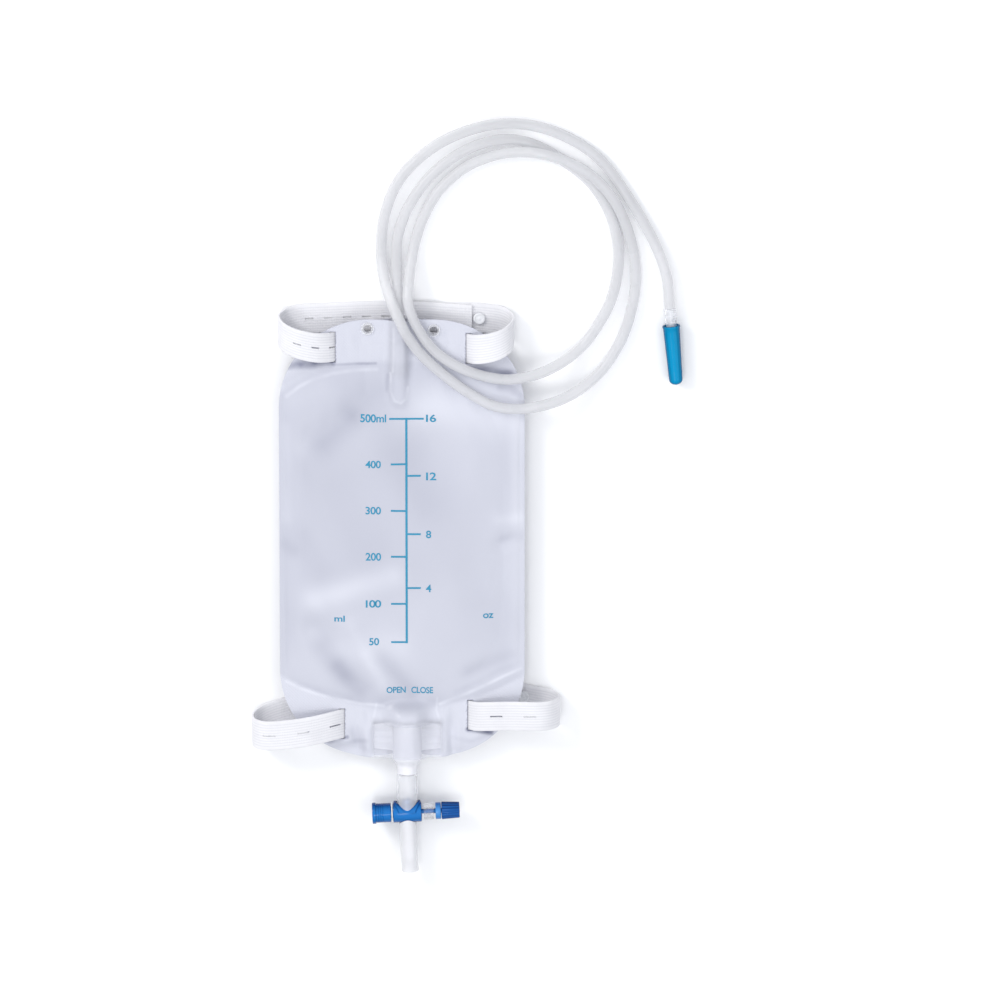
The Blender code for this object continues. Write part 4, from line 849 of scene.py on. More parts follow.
def inlet_tubing():
    points = [BAG @ p for p in evenly(smooth_route(ROUTE, 16), TUBE_STEP)]
    curve = bpy.data.curves.new("inlet_tube", "CURVE")
    curve.dimensions = "3D"
    curve.bevel_depth = TUBE_RADIUS
    curve.bevel_resolution = 6
    curve.use_fill_caps = True
    spline = curve.splines.new("POLY")
    spline.points.add(len(points) - 1)
    for target, point in zip(spline.points, points):
        target.co = (*point, 1.0)
    curve.materials.append(TUBING)
    tube = bpy.data.objects.new("inlet_tube", curve)
    HOLDER.objects.link(tube)
    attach(tube, "bag")
    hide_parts("inlet_tubing")
    return tube, running_lengths(points)[-1]


def connector():
    # Collar on the tube, and a taper that the cap goes over
    collar = CONNECTOR_COLLAR_LENGTH
    end = collar + CONNECTOR_TAPER_LENGTH
    profile = [(GAP, CONNECTOR_BORE)] + quarter(GAP + EDGE, CONNECTOR_COLLAR - EDGE, EDGE, 180, 3)
    # Grip rings round the collar
    profile += rings_round(GAP + 0.0016, 0.0015, 4, CONNECTOR_COLLAR,
                           (0.0, 0.0), (0.0002, 0.0002), (0.0006, 0.0002), (0.0008, 0.0))
    profile += [(collar - EDGE, CONNECTOR_COLLAR), (collar, CONNECTOR_ROOT)]
    profile += [(end - 0.0005, CONNECTOR_TIP), (end, CONNECTOR_TIP - FINE_EDGE), (end, CONNECTOR_BORE)]
    piece = turned_object("tube_connector", profile, 40, "Y", FAR_END)
    return dress(piece, CLEAR, "bag", ["tubing_connector"])


def cap():
    # Deep cup with a rim, a tapered side and a rounded blind end
    inner_mouth = CAP_MOUTH - CAP_WALL
    inner_end = CAP_END - CAP_WALL
    dome = CAP_END * DOME_SHARE
    last = CAP_LENGTH - dome
    profile = [(EDGE, inner_mouth), (0.0, inner_mouth + EDGE)]
    profile += quarter(EDGE, CAP_MOUTH - EDGE, EDGE, 180, 3)
    first = CAP_RIM + EDGE
    side = CAP_MOUTH - FINE_EDGE
    profile += [(CAP_RIM, CAP_MOUTH), (first, side)]
    for i in range(1, 13):
        profile.append((first + (last - first) * i / 12, side + (CAP_END - side) * i / 12))
    for i in range(1, 9):
        a = math.pi / 2 * i / 8
        profile.append((last + dome * math.sin(a), CAP_END * math.cos(a) if i < 8 else 0.0))
    floor = CAP_LENGTH - CAP_WALL
    profile += [(floor, 0.0), (floor - dome * 0.25, inner_end * 0.75), (last, inner_end)]
    piece = turned_object("blue_cap", profile, 64, "Y", CAP_FRAME)
    # Fine grip flutes from just past the rim
    for vertex in piece.data.vertices:
        local = CAP_FRAME.inverted() @ vertex.co
        radius = math.hypot(local.x, local.z)
        if CAP_RIM + 0.0006 < local.y < CAP_LENGTH * FLUTE_REACH and radius > CAP_END:
            turn = math.atan2(local.z, local.x)
            scale = 1 - CAP_FLUTE_DEPTH * (0.5 + 0.5 * math.cos(CAP_FLUTES * turn)) / radius
            vertex.co = CAP_FRAME @ Vector((local.x * scale, local.y, local.z * scale))
    return dress(piece, CAP_BLUE, "cap", ["protective_cap"])


TUBE, TUBE_LENGTH = inlet_tubing()
CONNECTOR = connector()
CAP = cap()


# Film pocket

# Soft folds of the slack front film, as the photograph shows them: two pixels, width and depth in metres.
# A valley has a positive depth and a ridge a negative one.
FOLDS = (
    ((323, 440), (380, 388), 0.0080, 0.0015), ((296, 424), (340, 388), 0.0070, -0.0007),
    ((300, 520), (430, 452), 0.0200, 0.0011), ((430, 470), (505, 560), 0.0180, 0.0006),
    ((300, 602), (400, 574), 0.0120, -0.0009), ((318, 562), (380, 528), 0.0130, 0.0007),
    ((316, 630), (360, 692), 0.0075, 0.0011), ((352, 632), (384, 684), 0.0070, -0.0008),
    ((382, 658), (414, 696), 0.0060, 0.0010), ((500, 546), (521, 536), 0.0040, 0.0010),
    ((500, 520), (520, 516), 0.0040, -0.0005), ((472, 676), (514, 658), 0.0055, 0.0010),
    ((482, 404), (522, 390), 0.0052, 0.0012), ((405, 392), (470, 414), 0.0100, -0.0006),
    ((455, 612), (520, 600), 0.0100, 0.0005),
)
# Painted shade in the front film's fold valleys and painted light on its ridges and edges, with painted light
# that pales the shadows beside the tubing and an eyelet: two pixels, width in metres and amount
PAINTED_PATCH_SHADING = (
    ((322, 442), (350, 417), 0.0062, -0.20), ((352, 412), (380, 388), 0.0075, -0.08),
    ((320, 470), (366, 548), 0.0200, -0.09), ((402, 460), (424, 500), 0.0150, -0.14),
    ((436, 400), (500, 408), 0.0110, 0.26), ((494, 440), (504, 580), 0.0170, 0.10),
    ((312, 600), (392, 577), 0.0075, 0.22), ((345, 616), (430, 606), 0.0180, 0.09),
    ((322, 648), (342, 676), 0.0062, -0.20), ((338, 668), (360, 694), 0.0052, -0.28),
    ((345, 650), (396, 646), 0.0090, 0.15), ((322, 672), (500, 664), 0.0200, 0.12),
    ((366, 655), (384, 690), 0.0042, 0.12), ((384, 660), (412, 694), 0.0045, -0.20),
    ((285, 546), (293, 552), 0.0040, -0.12), ((504, 541), (519, 538), 0.0030, -0.14),
    ((501, 522), (519, 518), 0.0032, 0.13), ((470, 674), (512, 658), 0.0042, -0.14),
    ((384, 705), (430, 705), 0.0060, -0.12), ((340, 424), (300, 450), 0.0060, 0.07),
    ((300, 540), (320, 575), 0.0090, -0.09), ((420, 416), (506, 424), 0.0110, 0.12),
    ((296, 400), (320, 390), 0.0070, 0.07), ((286, 430), (286, 520), 0.0035, 0.09),
    ((517, 402), (517, 520), 0.0040, 0.24), ((518, 530), (517, 665), 0.0050, 0.14),
    ((350, 735), (362, 750), 0.0030, -0.17), ((434, 350), (442, 358), 0.0070, 0.20),
    ((470, 384), (487, 396), 0.0060, 0.20),
)
# Pleats of the welded hems, which bend both films
HEM_FOLDS = (
    ((349, 712), (358, 752), 0.0026, 0.0009), ((357, 712), (367, 750), 0.0022, -0.0007),
    ((446, 706), (452, 752), 0.0026, 0.0008), ((462, 712), (458, 750), 0.0024, -0.0006),
    ((352, 338), (356, 366), 0.0030, -0.0005), ((448, 338), (452, 372), 0.0030, 0.0005),
)
SLACK = 0.0012
BROAD_WAVE = 0.0004
FINE_WAVE = 0.00018
HEM_WAVE = 0.0009
HEM_SAG = 0.0012
PUCKER = 0.0002
PUCKER_PITCH = 0.0150
SEAL_WIDTH = 0.0015
SEAL_PRESS = 0.00010
# The slack film closes the slots on their inner side
SLOT_CLOSING = 0.0009
CUT_DEPTH = 0.02
# Where the film's melt on to the ports and its hems begin and are full, from the middle of the pocket
OUTLET_MELT = (0.1000, 0.1060)
INLET_MELT = (0.0900, 0.0960)
HEM = (0.100, 0.110)
# Paleness of the plain film, what welds and patches add to it, and that of the film on a port
PLAIN_TONE = 0.52
WELDED_TONE = 0.21
PATCHY_TONE = 0.07
MELTED_TONE = 0.97
# Mesh of each film
CORNER_ROWS = 64
SIDE_ROWS = 150
HALF_COLUMNS = 66


def bag_segments(folds):
    # The same lines from the middle of the pocket, in metres
    middle = Vector((BAG_X, BAG_Y))
    return [(photo_point(*start, FILM_TOP).xy - middle, photo_point(*end, FILM_TOP).xy - middle, width, depth)
            for start, end, width, depth in folds]


def fold_sum(lines, x, y):
    point = Vector((x, y))
    depth = 0.0
    for a, b, width, deep in lines:
        along = b - a
        share = (point - a).dot(along) / along.length_squared
        distance = (point - a - along * min(max(share, 0.0), 1.0)).length
        if distance < 2.5 * width:
            depth += deep * math.exp(-(distance / width) ** 2)
    return depth


FOLD_LINES = bag_segments(FOLDS)
PATCH_SHADING_LINES = bag_segments(PAINTED_PATCH_SHADING)
HEM_LINES = bag_segments(HEM_FOLDS)


def slack_depth(x, y):
    # How far the slack film has sunk from its full form
    depth = SLACK + fold_sum(FOLD_LINES, x, y)
    depth += BROAD_WAVE * noise.noise(Vector((26 * x, 20 * y, 4.2)))
    return depth + FINE_WAVE * noise.noise(Vector((80 * x, 60 * y, 9.7)))


def puckers(x, y, chamber):
    # Gathers that run in from the weld line
    wave = x + 0.4 * y + 0.006 * noise.noise(Vector((45 * x, 45 * y, 1.0)))
    gather = 0.5 + 0.5 * math.sin(2 * math.pi * wave / PUCKER_PITCH)
    patchy = 0.5 + 0.9 * noise.noise(Vector((30 * x, 30 * y, 7.0)))
    return PUCKER * gather * min(max(patchy, 0.0), 1.0) * 4 * chamber * (1 - chamber)


def skin(x, y, fill, side):
    # Inner height of the dressed film, never further out than the CAD film's
    chamber = pillow(x, y)
    slack = slack_depth(x, y) if side > 0 else slack_depth(-x, y + 0.03) * 0.7
    sunk = max(slack, 0.0) * min(1.0, 2.0 * chamber) + puckers(x, y, chamber)
    return film_inside(x, y, fill, sunk)


def hem_distance(x, y):
    # How far a point lies beyond the chamber's top or bottom weld line, or inside it where negative
    top, bottom = chamber_ends(x)
    return max(y - top, bottom - y)


def weld_distance(x, y):
    # The same with the welds along the sides
    return max(hem_distance(x, y), abs(x) - (HALF_WIDTH - SIDE_WELD))


def seal_line(x, y):
    # 1 in the line that the sealing bar pressed beside the chamber
    distance = hem_distance(x, y) - SEAL_WIDTH * 0.6
    return math.exp(-(distance / (SEAL_WIDTH * 0.5)) ** 4) if port_lift(x, y) < 0.0015 else 0.0


def clearness(x, y):
    # Where the film is melted on to the ports
    wing = WING_SPAN / 2
    outlet = fade(-y, *OUTLET_MELT) * (1 - fade(abs(x - OUTLET_X), wing - 0.002, wing + 0.001))
    inlet = fade(y, *INLET_MELT) * (1 - fade(abs(x - INLET_X), 0.0040, 0.0065))
    return max(outlet, 0.45 * inlet)


def film_tone_and_shading(x, y, side):
    # 0 where the film is darkest and 1 where it is palest, with painted shade and painted light along the
    # front film's folds
    welded = fade(hem_distance(x, y), -0.0010, 0.0030)
    tone_and_shading = PLAIN_TONE + WELDED_TONE * welded
    tone_and_shading += PATCHY_TONE * noise.noise(Vector((14 * x, 14 * y, 3.0)))
    # Painted fold shading, on the front film only
    if side > 0:
        tone_and_shading += fold_sum(PATCH_SHADING_LINES, x, y)
    melted = clearness(x, y)
    return min(max(tone_and_shading + (MELTED_TONE - tone_and_shading) * melted, 0.0), 1.0)


def droop(x, y):
    # The welded hems wave and sag a little between the straps and the ports
    chamber = pillow(x, y)
    if chamber > 0.9:
        return 0.0
    hem = fade(abs(y), *HEM)
    waves = HEM_WAVE * noise.noise(Vector((55 * x, 55 * y, 6.0))) - fold_sum(HEM_LINES, x, y)
    free = fade(abs(x), 0.022, 0.030) if y < 0 else 0.0
    sag = HEM_SAG * free * fade(-y, 0.113, HALF_LENGTH)
    return (waves * hem - sag) * fade(0.9 - chamber, 0.0, 0.6) * off_slots(x, y)


def off_slots(x, y):
    # 0 at the slots and eyelets, where straps and rings hold the film, and 1 away from them
    free = 1.0
    for sx, sy in SLOTS:
        gap = max(abs(x - sx) - SLOT_WIDTH / 2, abs(y - sy) - STRAP_WIDTH / 2, 0.0)
        free = min(free, fade(gap, 0.0010, 0.0060))
    for sx, sy in EYELETS:
        free = min(free, fade(math.hypot(x - sx, y - sy), EYELET_FLANGE, EYELET_FLANGE + 0.004))
    inner = abs(x - INLET_X)
    return free * (fade(inner, 0.005, 0.010) if y > 0 else 1.0)


def front_height(x, y):
    # Height of the front film's outer face above the table
    return MID + skin(x, y, FRONT_FILL, 1) + FILM + droop(x, y)


def dense_rows():
    # Y of the mesh rows, closer together round the pocket's corners
    turn = [i / CORNER_ROWS * math.pi / 2 for i in range(CORNER_ROWS, -1, -1)]
    straight = HALF_LENGTH - CORNER_RADIUS
    top = [straight + CORNER_RADIUS * math.sin(a) for a in turn]
    middle = [straight - 2 * straight * i / SIDE_ROWS for i in range(1, SIDE_ROWS)]
    return top + middle + [-y for y in reversed(top)]


def dense_columns():
    # Shares of the half width for the mesh columns
    shares = [i / HALF_COLUMNS for i in range(HALF_COLUMNS + 1)]
    shares = [s + 0.10 * math.sin(math.pi * s) * s for s in shares]
    return [-s for s in reversed(shares[1:])] + shares


def film_cutters():
    # Slots for the straps and holes for the eyelets
    steps = []
    for x, y in SLOTS:
        place = BAG @ Matrix.Translation((x + math.copysign(SLOT_CLOSING / 2, x), y, MID))
        size = (SLOT_WIDTH - SLOT_CLOSING, STRAP_WIDTH + 0.0008, CUT_DEPTH)
        steps.append(("DIFFERENCE", box_object(size, place)))
    hole = EYELET_BORE + EYELET_WALL + GAP
    for x, y in EYELETS:
        upright = BAG @ Matrix.Translation((x, y, MID)) @ Matrix.Rotation(math.pi / 2, 4, "X")
        steps.append(("DIFFERENCE", rod(hole, -CUT_DEPTH / 2, CUT_DEPTH / 2, "Y", upright, 32)))
    return steps


def film_piece(name, side, fill, material, node):
    bm = bmesh.new()
    weld, clear, tone_and_shading = [bm.verts.layers.float.new(layer) for layer in ("weld", "clear", "tone_and_shading")]
    shares = dense_columns()
    layers = ([], [])
    for y in dense_rows():
        rows = ([], [])
        for share in shares:
            x = share * half_width(y)
            inner = skin(x, y, fill, side)
            sway = droop(x, y)
            looks = (1.0 if weld_distance(x, y) > 0 and port_lift(x, y) < 0.001 else 0.0,
                     clearness(x, y), film_tone_and_shading(x, y, side))
            outer = inner + FILM - seal_line(x, y) * SEAL_PRESS
            for row, height in zip(rows, (inner, outer)):
                vertex = bm.verts.new((x, y, MID + side * height + sway))
                vertex[weld], vertex[clear], vertex[tone_and_shading] = looks
                row.append(vertex)
        for grid, row in zip(layers, rows):
            grid.append(row)
    sheet_faces(bm, layers)
    piece = loose_object(name, bm, BAG)
    carve(piece, film_cutters())
    return dress(piece, material, "bag", [node], angle=50)


film_piece("front_film_skin", 1, FRONT_FILL, FILM_FRONT, "front_film")
film_piece("back_film_skin", -1, BACK_FILL, FILM_BACK, "back_film")


# Print

INK_LIFT = 0.00006
INK_THICKNESS = 0.00005
PRINT_STEP = 0.0012
TICK_SHARE = 0.85
TOP_TICK_SPARE = 0.0008
# The print lies on top of the belly, which the tilted camera sees a little lower than the middle plane
PRINT_SHIFT = (FILM_TOP - MID) * math.tan(TILT)


def on_film(x, y):
    # A point of the print, from the part's own X and Y
    return front_height(x - BAG_X, y - BAG_Y) + INK_LIFT


def printed_bar(bm, x0, x1, y0, y1):
    # A closed flat bar that follows the film
    columns = max(1, math.ceil(abs(x1 - x0) / PRINT_STEP))
    rows = max(1, math.ceil(abs(y1 - y0) / PRINT_STEP))
    layers = []
    for up in (0.0, INK_THICKNESS):
        grid = []
        for r in range(rows + 1):
            y = y0 + (y1 - y0) * r / rows
            line = [x0 + (x1 - x0) * c / columns for c in range(columns + 1)]
            grid.append([bm.verts.new((x, y, on_film(x, y) + up)) for x in line])
        layers.append(grid)
    sheet_faces(bm, layers)


def scale_lines():
    # One upright line with ticks on both sides
    bm = bmesh.new()
    middle = BAG_Y + PRINT_SHIFT
    left = BAG_X + SCALE_X - SCALE_LINE / 2
    right = left + SCALE_LINE
    half = SCALE_LINE / 2
    printed_bar(bm, left, right, middle + LEFT_TICKS_Y[-1] - half, middle + LEFT_TICKS_Y[0] + half)
    for y in LEFT_TICKS_Y:
        reach = LEFT_TICK + (TOP_TICK_SPARE if y == LEFT_TICKS_Y[0] else 0.0)
        printed_bar(bm, left - reach, left, middle + y - half * TICK_SHARE, middle + y + half * TICK_SHARE)
    for y in RIGHT_TICKS_Y:
        reach = TOP_TICK if y == RIGHT_TICKS_Y[0] else RIGHT_TICK
        printed_bar(bm, right, right + reach, middle + y - half * TICK_SHARE, middle + y + half * TICK_SHARE)
    return dress(loose_object("scale_lines", bm), INK, "bag", ["volume_scale"], angle=40)


def printed_word(name, text, left, right, middle, tall):
    # Generic figures and words of the scale, fitted to a box of the photograph
    font = bpy.data.curves.new(name, "FONT")
    font.body = text
    font.offset = 0.016
    # Figures that begin with a 1 stand closer together
    font.space_character = 0.85 if text[0] == "1" else 0.96
    font.extrude = 0.5 * INK_THICKNESS
    word = bpy.data.objects.new(name, font)
    HOLDER.objects.link(word)
    bpy.context.view_layer.update()
    mesh = bpy.data.meshes.new_from_object(word.evaluated_get(bpy.context.evaluated_depsgraph_get()))
    bpy.data.objects.remove(word, do_unlink=True)
    bm = bmesh.new()
    bm.from_mesh(mesh)
    bmesh.ops.remove_doubles(bm, verts=bm.verts, dist=1e-5)
    xs = [v.co.x for v in bm.verts]
    ys = [v.co.y for v in bm.verts]
    low = photo_point(left, middle + tall / 2, FILM_TOP)
    high = photo_point(right, middle - tall / 2, FILM_TOP)
    for vertex in bm.verts:
        x = low.x + (high.x - low.x) * (vertex.co.x - min(xs)) / (max(xs) - min(xs))
        y = low.y + (high.y - low.y) * (vertex.co.y - min(ys)) / (max(ys) - min(ys))
        up = INK_THICKNESS if vertex.co.z > 0 else 0.0
        vertex.co = (x, y, on_film(x, y) + up)
    piece = loose_object(name, bm)
    return dress(piece, INK, "bag", angle=40)


scale_lines()
# Each word: its piece, its text, and its left and right edge, middle and height in pixels
WORDS = (
    ("figure_500", "500ml", 360.6, 386.4, 418.5, 7.8), ("figure_400", "400", 365.6, 381.0, 464.4, 7.6),
    ("figure_300", "300", 365.6, 381.0, 510.7, 7.6), ("figure_200", "200", 365.6, 381.0, 556.3, 7.6),
    ("figure_100", "100", 365.6, 381.0, 603.4, 7.6), ("figure_50", "50", 368.8, 378.8, 641.6, 7.4),
    ("figure_16", "16", 426.2, 436.3, 418.6, 7.6), ("figure_12", "12", 426.2, 436.3, 476.6, 7.6),
    ("figure_8", "8", 426.0, 431.2, 533.8, 7.6), ("figure_4", "4", 425.8, 431.2, 588.0, 7.6),
    ("unit_left", "ml", 334.0, 344.5, 618.5, 6.2), ("unit_right", "oz", 483.0, 493.5, 616.5, 4.8),
    ("word_open", "OPEN", 386.2, 405.3, 691.4, 6.4), ("word_close", "CLOSE", 411.0, 432.8, 691.8, 6.6),
)
for word in WORDS:
    printed_word(*word)


# Straps: knitted elastic with cords along it, buttonholes and sewn ends

RIBS = 10
RIB_RELIEF = 0.00012
SELVEDGE = 0.0008
SLIT_RIM = 0.00010
SLIT_RIM_REACH = 0.0009
BAND_STEP = 0.0013
STITCH_PITCH = 0.0011
STITCH_MARGIN = 0.0010
# Half sizes of a stitch: along the band, across it and out of it
STITCH = (0.00022, 0.00042, 0.00013)


def band_path(keys):
    # The CAD band's own line, smoothed, with its running length
    coarse = evenly([lift_off(p) for p in smooth_route(keys, 8)], 0.0038)
    fine = smooth_route(coarse, 6)
    return fine, running_lengths(fine)


def band_frame(fine, lengths, distance):
    # A point of the band's line, and the direction out of the band there
    step = 0.0012
    back = along_path(fine, lengths, max(distance - step, 0.0))
    ahead = along_path(fine, lengths, min(distance + step, lengths[-1]))
    normal = Vector((back.z - ahead.z, 0.0, ahead.x - back.x)).normalized()
    return along_path(fine, lengths, distance), normal


def band_columns():
    # Four columns to a rib, with the selvedges and the slits' sides between them
    edge = STRAP_WIDTH / 2
    gap = SLIT_WIDTH / 2
    pitch = (STRAP_WIDTH - 2 * SELVEDGE) / RIBS
    columns = {round(-edge + SELVEDGE + i * pitch / 4, 6) for i in range(RIBS * 4 + 1)}
    columns = {c for c in columns if abs(abs(c) - gap) > 0.0002 and abs(c) > 1e-5}
    columns.update((-edge, -edge + 0.0003, edge - 0.0003, edge, -gap, gap, 0.0))
    return sorted(columns)


def band_rows(total, holes):
    # Even rows along the band, which give way to the slits' ends
    ends = [end for hole in holes for end in hole]
    count = round(total / BAND_STEP)
    rows = {round(total * i / count, 6) for i in range(count + 1)}
    rows = {row for row in rows if all(abs(row - end) > 0.0005 for end in ends)}
    rows.update(round(end, 6) for end in ends)
    return sorted(rows)


def rib_height(across):
    # Rounded cords with narrow grooves between them, and a flat selvedge on each side
    edge = STRAP_WIDTH / 2 - SELVEDGE
    if abs(across) > edge:
        return -RIB_RELIEF * 0.5
    phase = (across + edge) / (2 * edge) * RIBS
    share = abs(phase - round(phase)) * 2
    return -RIB_RELIEF * (1 - share) ** 2


def slit_spans(length, pitch, rows):
    # Where each buttonhole begins and ends along the band
    middles = [first + i * pitch for first, last in rows for i in range(1 + round((last - first) / pitch))]
    return [(middle - length / 2, middle + length / 2) for middle in middles]


def band_surface(across, by_slit):
    # Half the band's thickness at a column, and how much painted shade it takes in a groove
    gap = SLIT_WIDTH / 2
    edge = STRAP_WIDTH / 2
    half = STRAP_THICKNESS / 2
    if by_slit and gap - 1e-6 <= abs(across) <= gap + 0.0008:
        return half + SLIT_RIM * 0.5, 0.0
    # Painted shade in the grooves between the ribs
    groove_shade = 0.8 if rib_height(across) < -RIB_RELIEF * 0.6 and abs(across) < edge - 0.0009 else 0.0
    if abs(across) > edge - 0.00025:
        return half * 0.45, groove_shade
    return half + rib_height(across), groove_shade


def band(name, keys, slits, node):
    fine, lengths = band_path(keys)
    holes = slit_spans(*slits)
    rows = band_rows(lengths[-1], holes)
    columns = band_columns()
    bm = bmesh.new()
    groove_shade = bm.verts.layers.float.new("groove_shade")
    uv = bm.loops.layers.uv.new("band")
    places = {}
    grids = {1: [], -1: []}
    for distance in rows:
        middle, normal = band_frame(fine, lengths, distance)
        by_slit = min(max(a - distance, distance - b, 0.0) for a, b in holes) < SLIT_RIM_REACH
        lines = {side: [] for side in grids}
        for across in columns:
            rise, deep = band_surface(across, by_slit)
            for side, line in lines.items():
                vertex = bm.verts.new(middle + Vector((0.0, across, 0.0)) + normal * side * rise)
                vertex[groove_shade] = deep
                places[vertex] = (distance, across)
                line.append(vertex)
        for side, line in lines.items():
            grids[side].append(line)
    front, back = grids.values()

    def is_open(r, c):
        # Past the band's outline, or in a slit
        if not (0 <= r < len(rows) - 1 and 0 <= c < len(columns) - 1):
            return True
        middle = (rows[r] + rows[r + 1]) / 2
        across = (columns[c] + columns[c + 1]) / 2
        return abs(across) < SLIT_WIDTH / 2 and any(a < middle < b for a, b in holes)

    for r in range(len(rows)):
        for c in range(len(columns)):
            if not is_open(r, c):
                for grid in (front, back):
                    bm.faces.new((grid[r][c], grid[r][c + 1], grid[r + 1][c + 1], grid[r + 1][c]))
            # Walls along the outline and the slits
            if is_open(r, c) != is_open(r, c - 1):
                bm.faces.new((front[r][c], front[r + 1][c], back[r + 1][c], back[r][c]))
            if is_open(r, c) != is_open(r - 1, c):
                bm.faces.new((front[r][c], front[r][c + 1], back[r][c + 1], back[r][c]))
    for vertex in [v for v in bm.verts if not v.link_faces]:
        places.pop(vertex)
        bm.verts.remove(vertex)
    for face in bm.faces:
        for loop in face.loops:
            loop[uv].uv = places[loop.vert]
    piece = loose_object(name, bm, BAG)
    return dress(piece, KNIT, "bag", [node], angle=60)


def stitching(name, keys, *distances):
    # Sewn bars across the band: small stitches side by side, on both faces
    fine, lengths = band_path(keys)
    span = STRAP_WIDTH - 2 * STITCH_MARGIN
    count = round(span / STITCH_PITCH)
    up = Vector((0.0, 1.0, 0.0))
    bm = bmesh.new()
    for distance in distances:
        # A distance below zero is from the band's far end
        distance = distance if distance > 0 else lengths[-1] + distance
        middle, normal = band_frame(fine, lengths, distance)
        ahead = (band_frame(fine, lengths, distance + 0.001)[0] - middle).normalized()
        for side in (1, -1):
            turn = Matrix((ahead, up, normal * side)).transposed().to_4x4()
            for i in range(count):
                across = -span / 2 + (i + 0.5) * span / count
                centre = middle + up * across + normal * side * (STRAP_THICKNESS / 2 - 0.00004)
                shape = Matrix.Translation(centre) @ turn @ Matrix.Diagonal((*STITCH, 1.0))
                bmesh.ops.create_uvsphere(bm, u_segments=8, v_segments=5, radius=1.0, matrix=shape)
    return dress(loose_object(name, bm, BAG), THREAD, "bag", angle=80)


UPPER_SLITS = (UPPER_SLIT_LENGTH, UPPER_SLIT_PITCH, UPPER_SLIT_ROWS)
LOWER_SLITS = (LOWER_SLIT_LENGTH, LOWER_SLIT_PITCH, LOWER_SLIT_ROWS)
band("upper_elastic", upper_strap_path(), UPPER_SLITS, "upper_strap")
band("lower_elastic", lower_strap_path(), LOWER_SLITS, "lower_strap")
stitching("upper_stitching", upper_strap_path(), 0.0022, 0.0036, 0.0390, 0.0404, -0.0022, -0.0036)
stitching("lower_stitching", lower_strap_path(), 0.0022, 0.0036, -0.0022, -0.0036)


def button(name, place, node):
    # Low stud: domed head with a dished middle and a raised rim
    outline = ((0.0, 0.0), (0.0, 0.62), (0.10, 0.70), (0.40, 0.94), (0.55, 1.0), (0.75, 0.985), (0.93, 0.90),
               (1.0, 0.80), (0.96, 0.70), (0.80, 0.60), (0.76, 0.30), (0.86, 0.22), (0.90, 0.0))
    profile = [(BUTTON_HEIGHT * up, BUTTON_RADIUS * out) for up, out in outline]
    matrix = BAG @ Matrix.Translation(place) @ Matrix.Rotation(math.pi / 2, 4, "X")
    piece = turned_object(name, profile, 48, "Y", matrix)
    return dress(piece, STUD, "bag", [node])


ON_BAND = STRAP_THICKNESS + GAP
button("upper_stud", (0.0425, 0.1225, ON_BAND), "upper_strap_button")
button("lower_stud", (0.0668, -0.0922, ON_BAND), "lower_strap_button")


# Ports and eyelets

PORT_FRAME = BAG @ Matrix.Translation((OUTLET_X, 0.0, MID))
# How far the cutters of the fish-mouth seats reach to each side
SEAT_REACH = 0.012


def eyelet(name, place, node):
    # A ring with a flange on each face of the films
    stack = EYELET_STACK
    end = stack + EYELET_LIP
    rim = EYELET_FLANGE
    round_off = 0.0003
    barrel = EYELET_BORE + EYELET_WALL
    profile = [(-end, EYELET_BORE + FINE_EDGE), (-end, rim - 0.0005)]
    profile += quarter(-stack - round_off, rim - round_off, round_off, 180, 4)
    profile += [(-stack, rim), (-stack, barrel), (stack, barrel), (stack, rim)]
    profile += quarter(stack + 0.0002, rim - round_off, round_off, 90, 4)
    profile += [(end, rim - 0.0005), (end, EYELET_BORE + FINE_EDGE)]
    profile += [(end - FINE_EDGE, EYELET_BORE), (-end + FINE_EDGE, EYELET_BORE)]
    matrix = BAG @ Matrix.Translation((*place, MID)) @ Matrix.Rotation(math.pi / 2, 4, "X")
    piece = turned_object(name, profile, 48, "Y", matrix)
    return dress(piece, CLEAR, "bag", [node])


def inlet_sleeve():
    # Sleeve round the tubing, with shallow sealing rings and a tapered nose in the chamber
    top = HALF_LENGTH + INLET_STAND_OUT
    nose = top - INLET_LENGTH
    bore = TUBE_RADIUS + GAP
    profile = [(top, bore), (top, INLET_RADIUS - FINE_EDGE), (top - 0.0004, INLET_RADIUS)]
    profile += rings_round(top - 0.0040, -0.0042, 5, INLET_RADIUS,
                           (0.0, 0.0), (-0.0002, 0.00015), (-0.0007, 0.00015), (-0.0009, 0.0))
    profile += [(nose + 0.0018, INLET_RADIUS), (nose + 0.0010, INLET_RADIUS - 0.0002)]
    profile += [(nose + 0.0004, INLET_RADIUS - 0.0007), (nose, INLET_RADIUS - 0.0016)]
    profile += [(nose, INLET_NOSE_HOLE), (nose + 0.0020, INLET_NOSE_HOLE), (nose + 0.0040, bore)]
    piece = turned_object("inlet_sleeve", profile, 48, "Y", BAG @ Matrix.Translation((INLET_X, 0.0, MID)))
    return dress(piece, CLEAR, "bag", ["inlet_port"])


def welding_wings():
    # Two flat wings in one piece, with three sealing ribs on each face
    half = WING_SPAN / 2
    root = PORT_RADIUS - PORT_WALL / 2
    top = PORT_RIM_Y - FINE_EDGE
    bottom = top - WING_LENGTH
    bm = bmesh.new()
    rings = []
    for x, thick, trim in ((-half, WING_TIP, 0.0015), (-root, WING_ROOT, 0.0), (root, WING_ROOT, 0.0),
                           (half, WING_TIP, 0.0015)):
        front = []
        for i in range(3):
            spot = top - WING_LENGTH * (0.26 + 0.24 * i)
            front += [(spot + 0.0005, thick), (spot, thick + 0.0002), (spot - 0.0005, thick)]
        back = [(y, -z) for y, z in reversed(front)]
        corners = [(top - trim, -thick), (top - trim, thick)] + front
        corners += [(bottom + trim, thick), (bottom + trim, -thick)] + back
        rings.append([bm.verts.new((x, y, z)) for y, z in corners])
    lofted(bm, rings)
    return loose_object("wings", bm, PORT_FRAME)


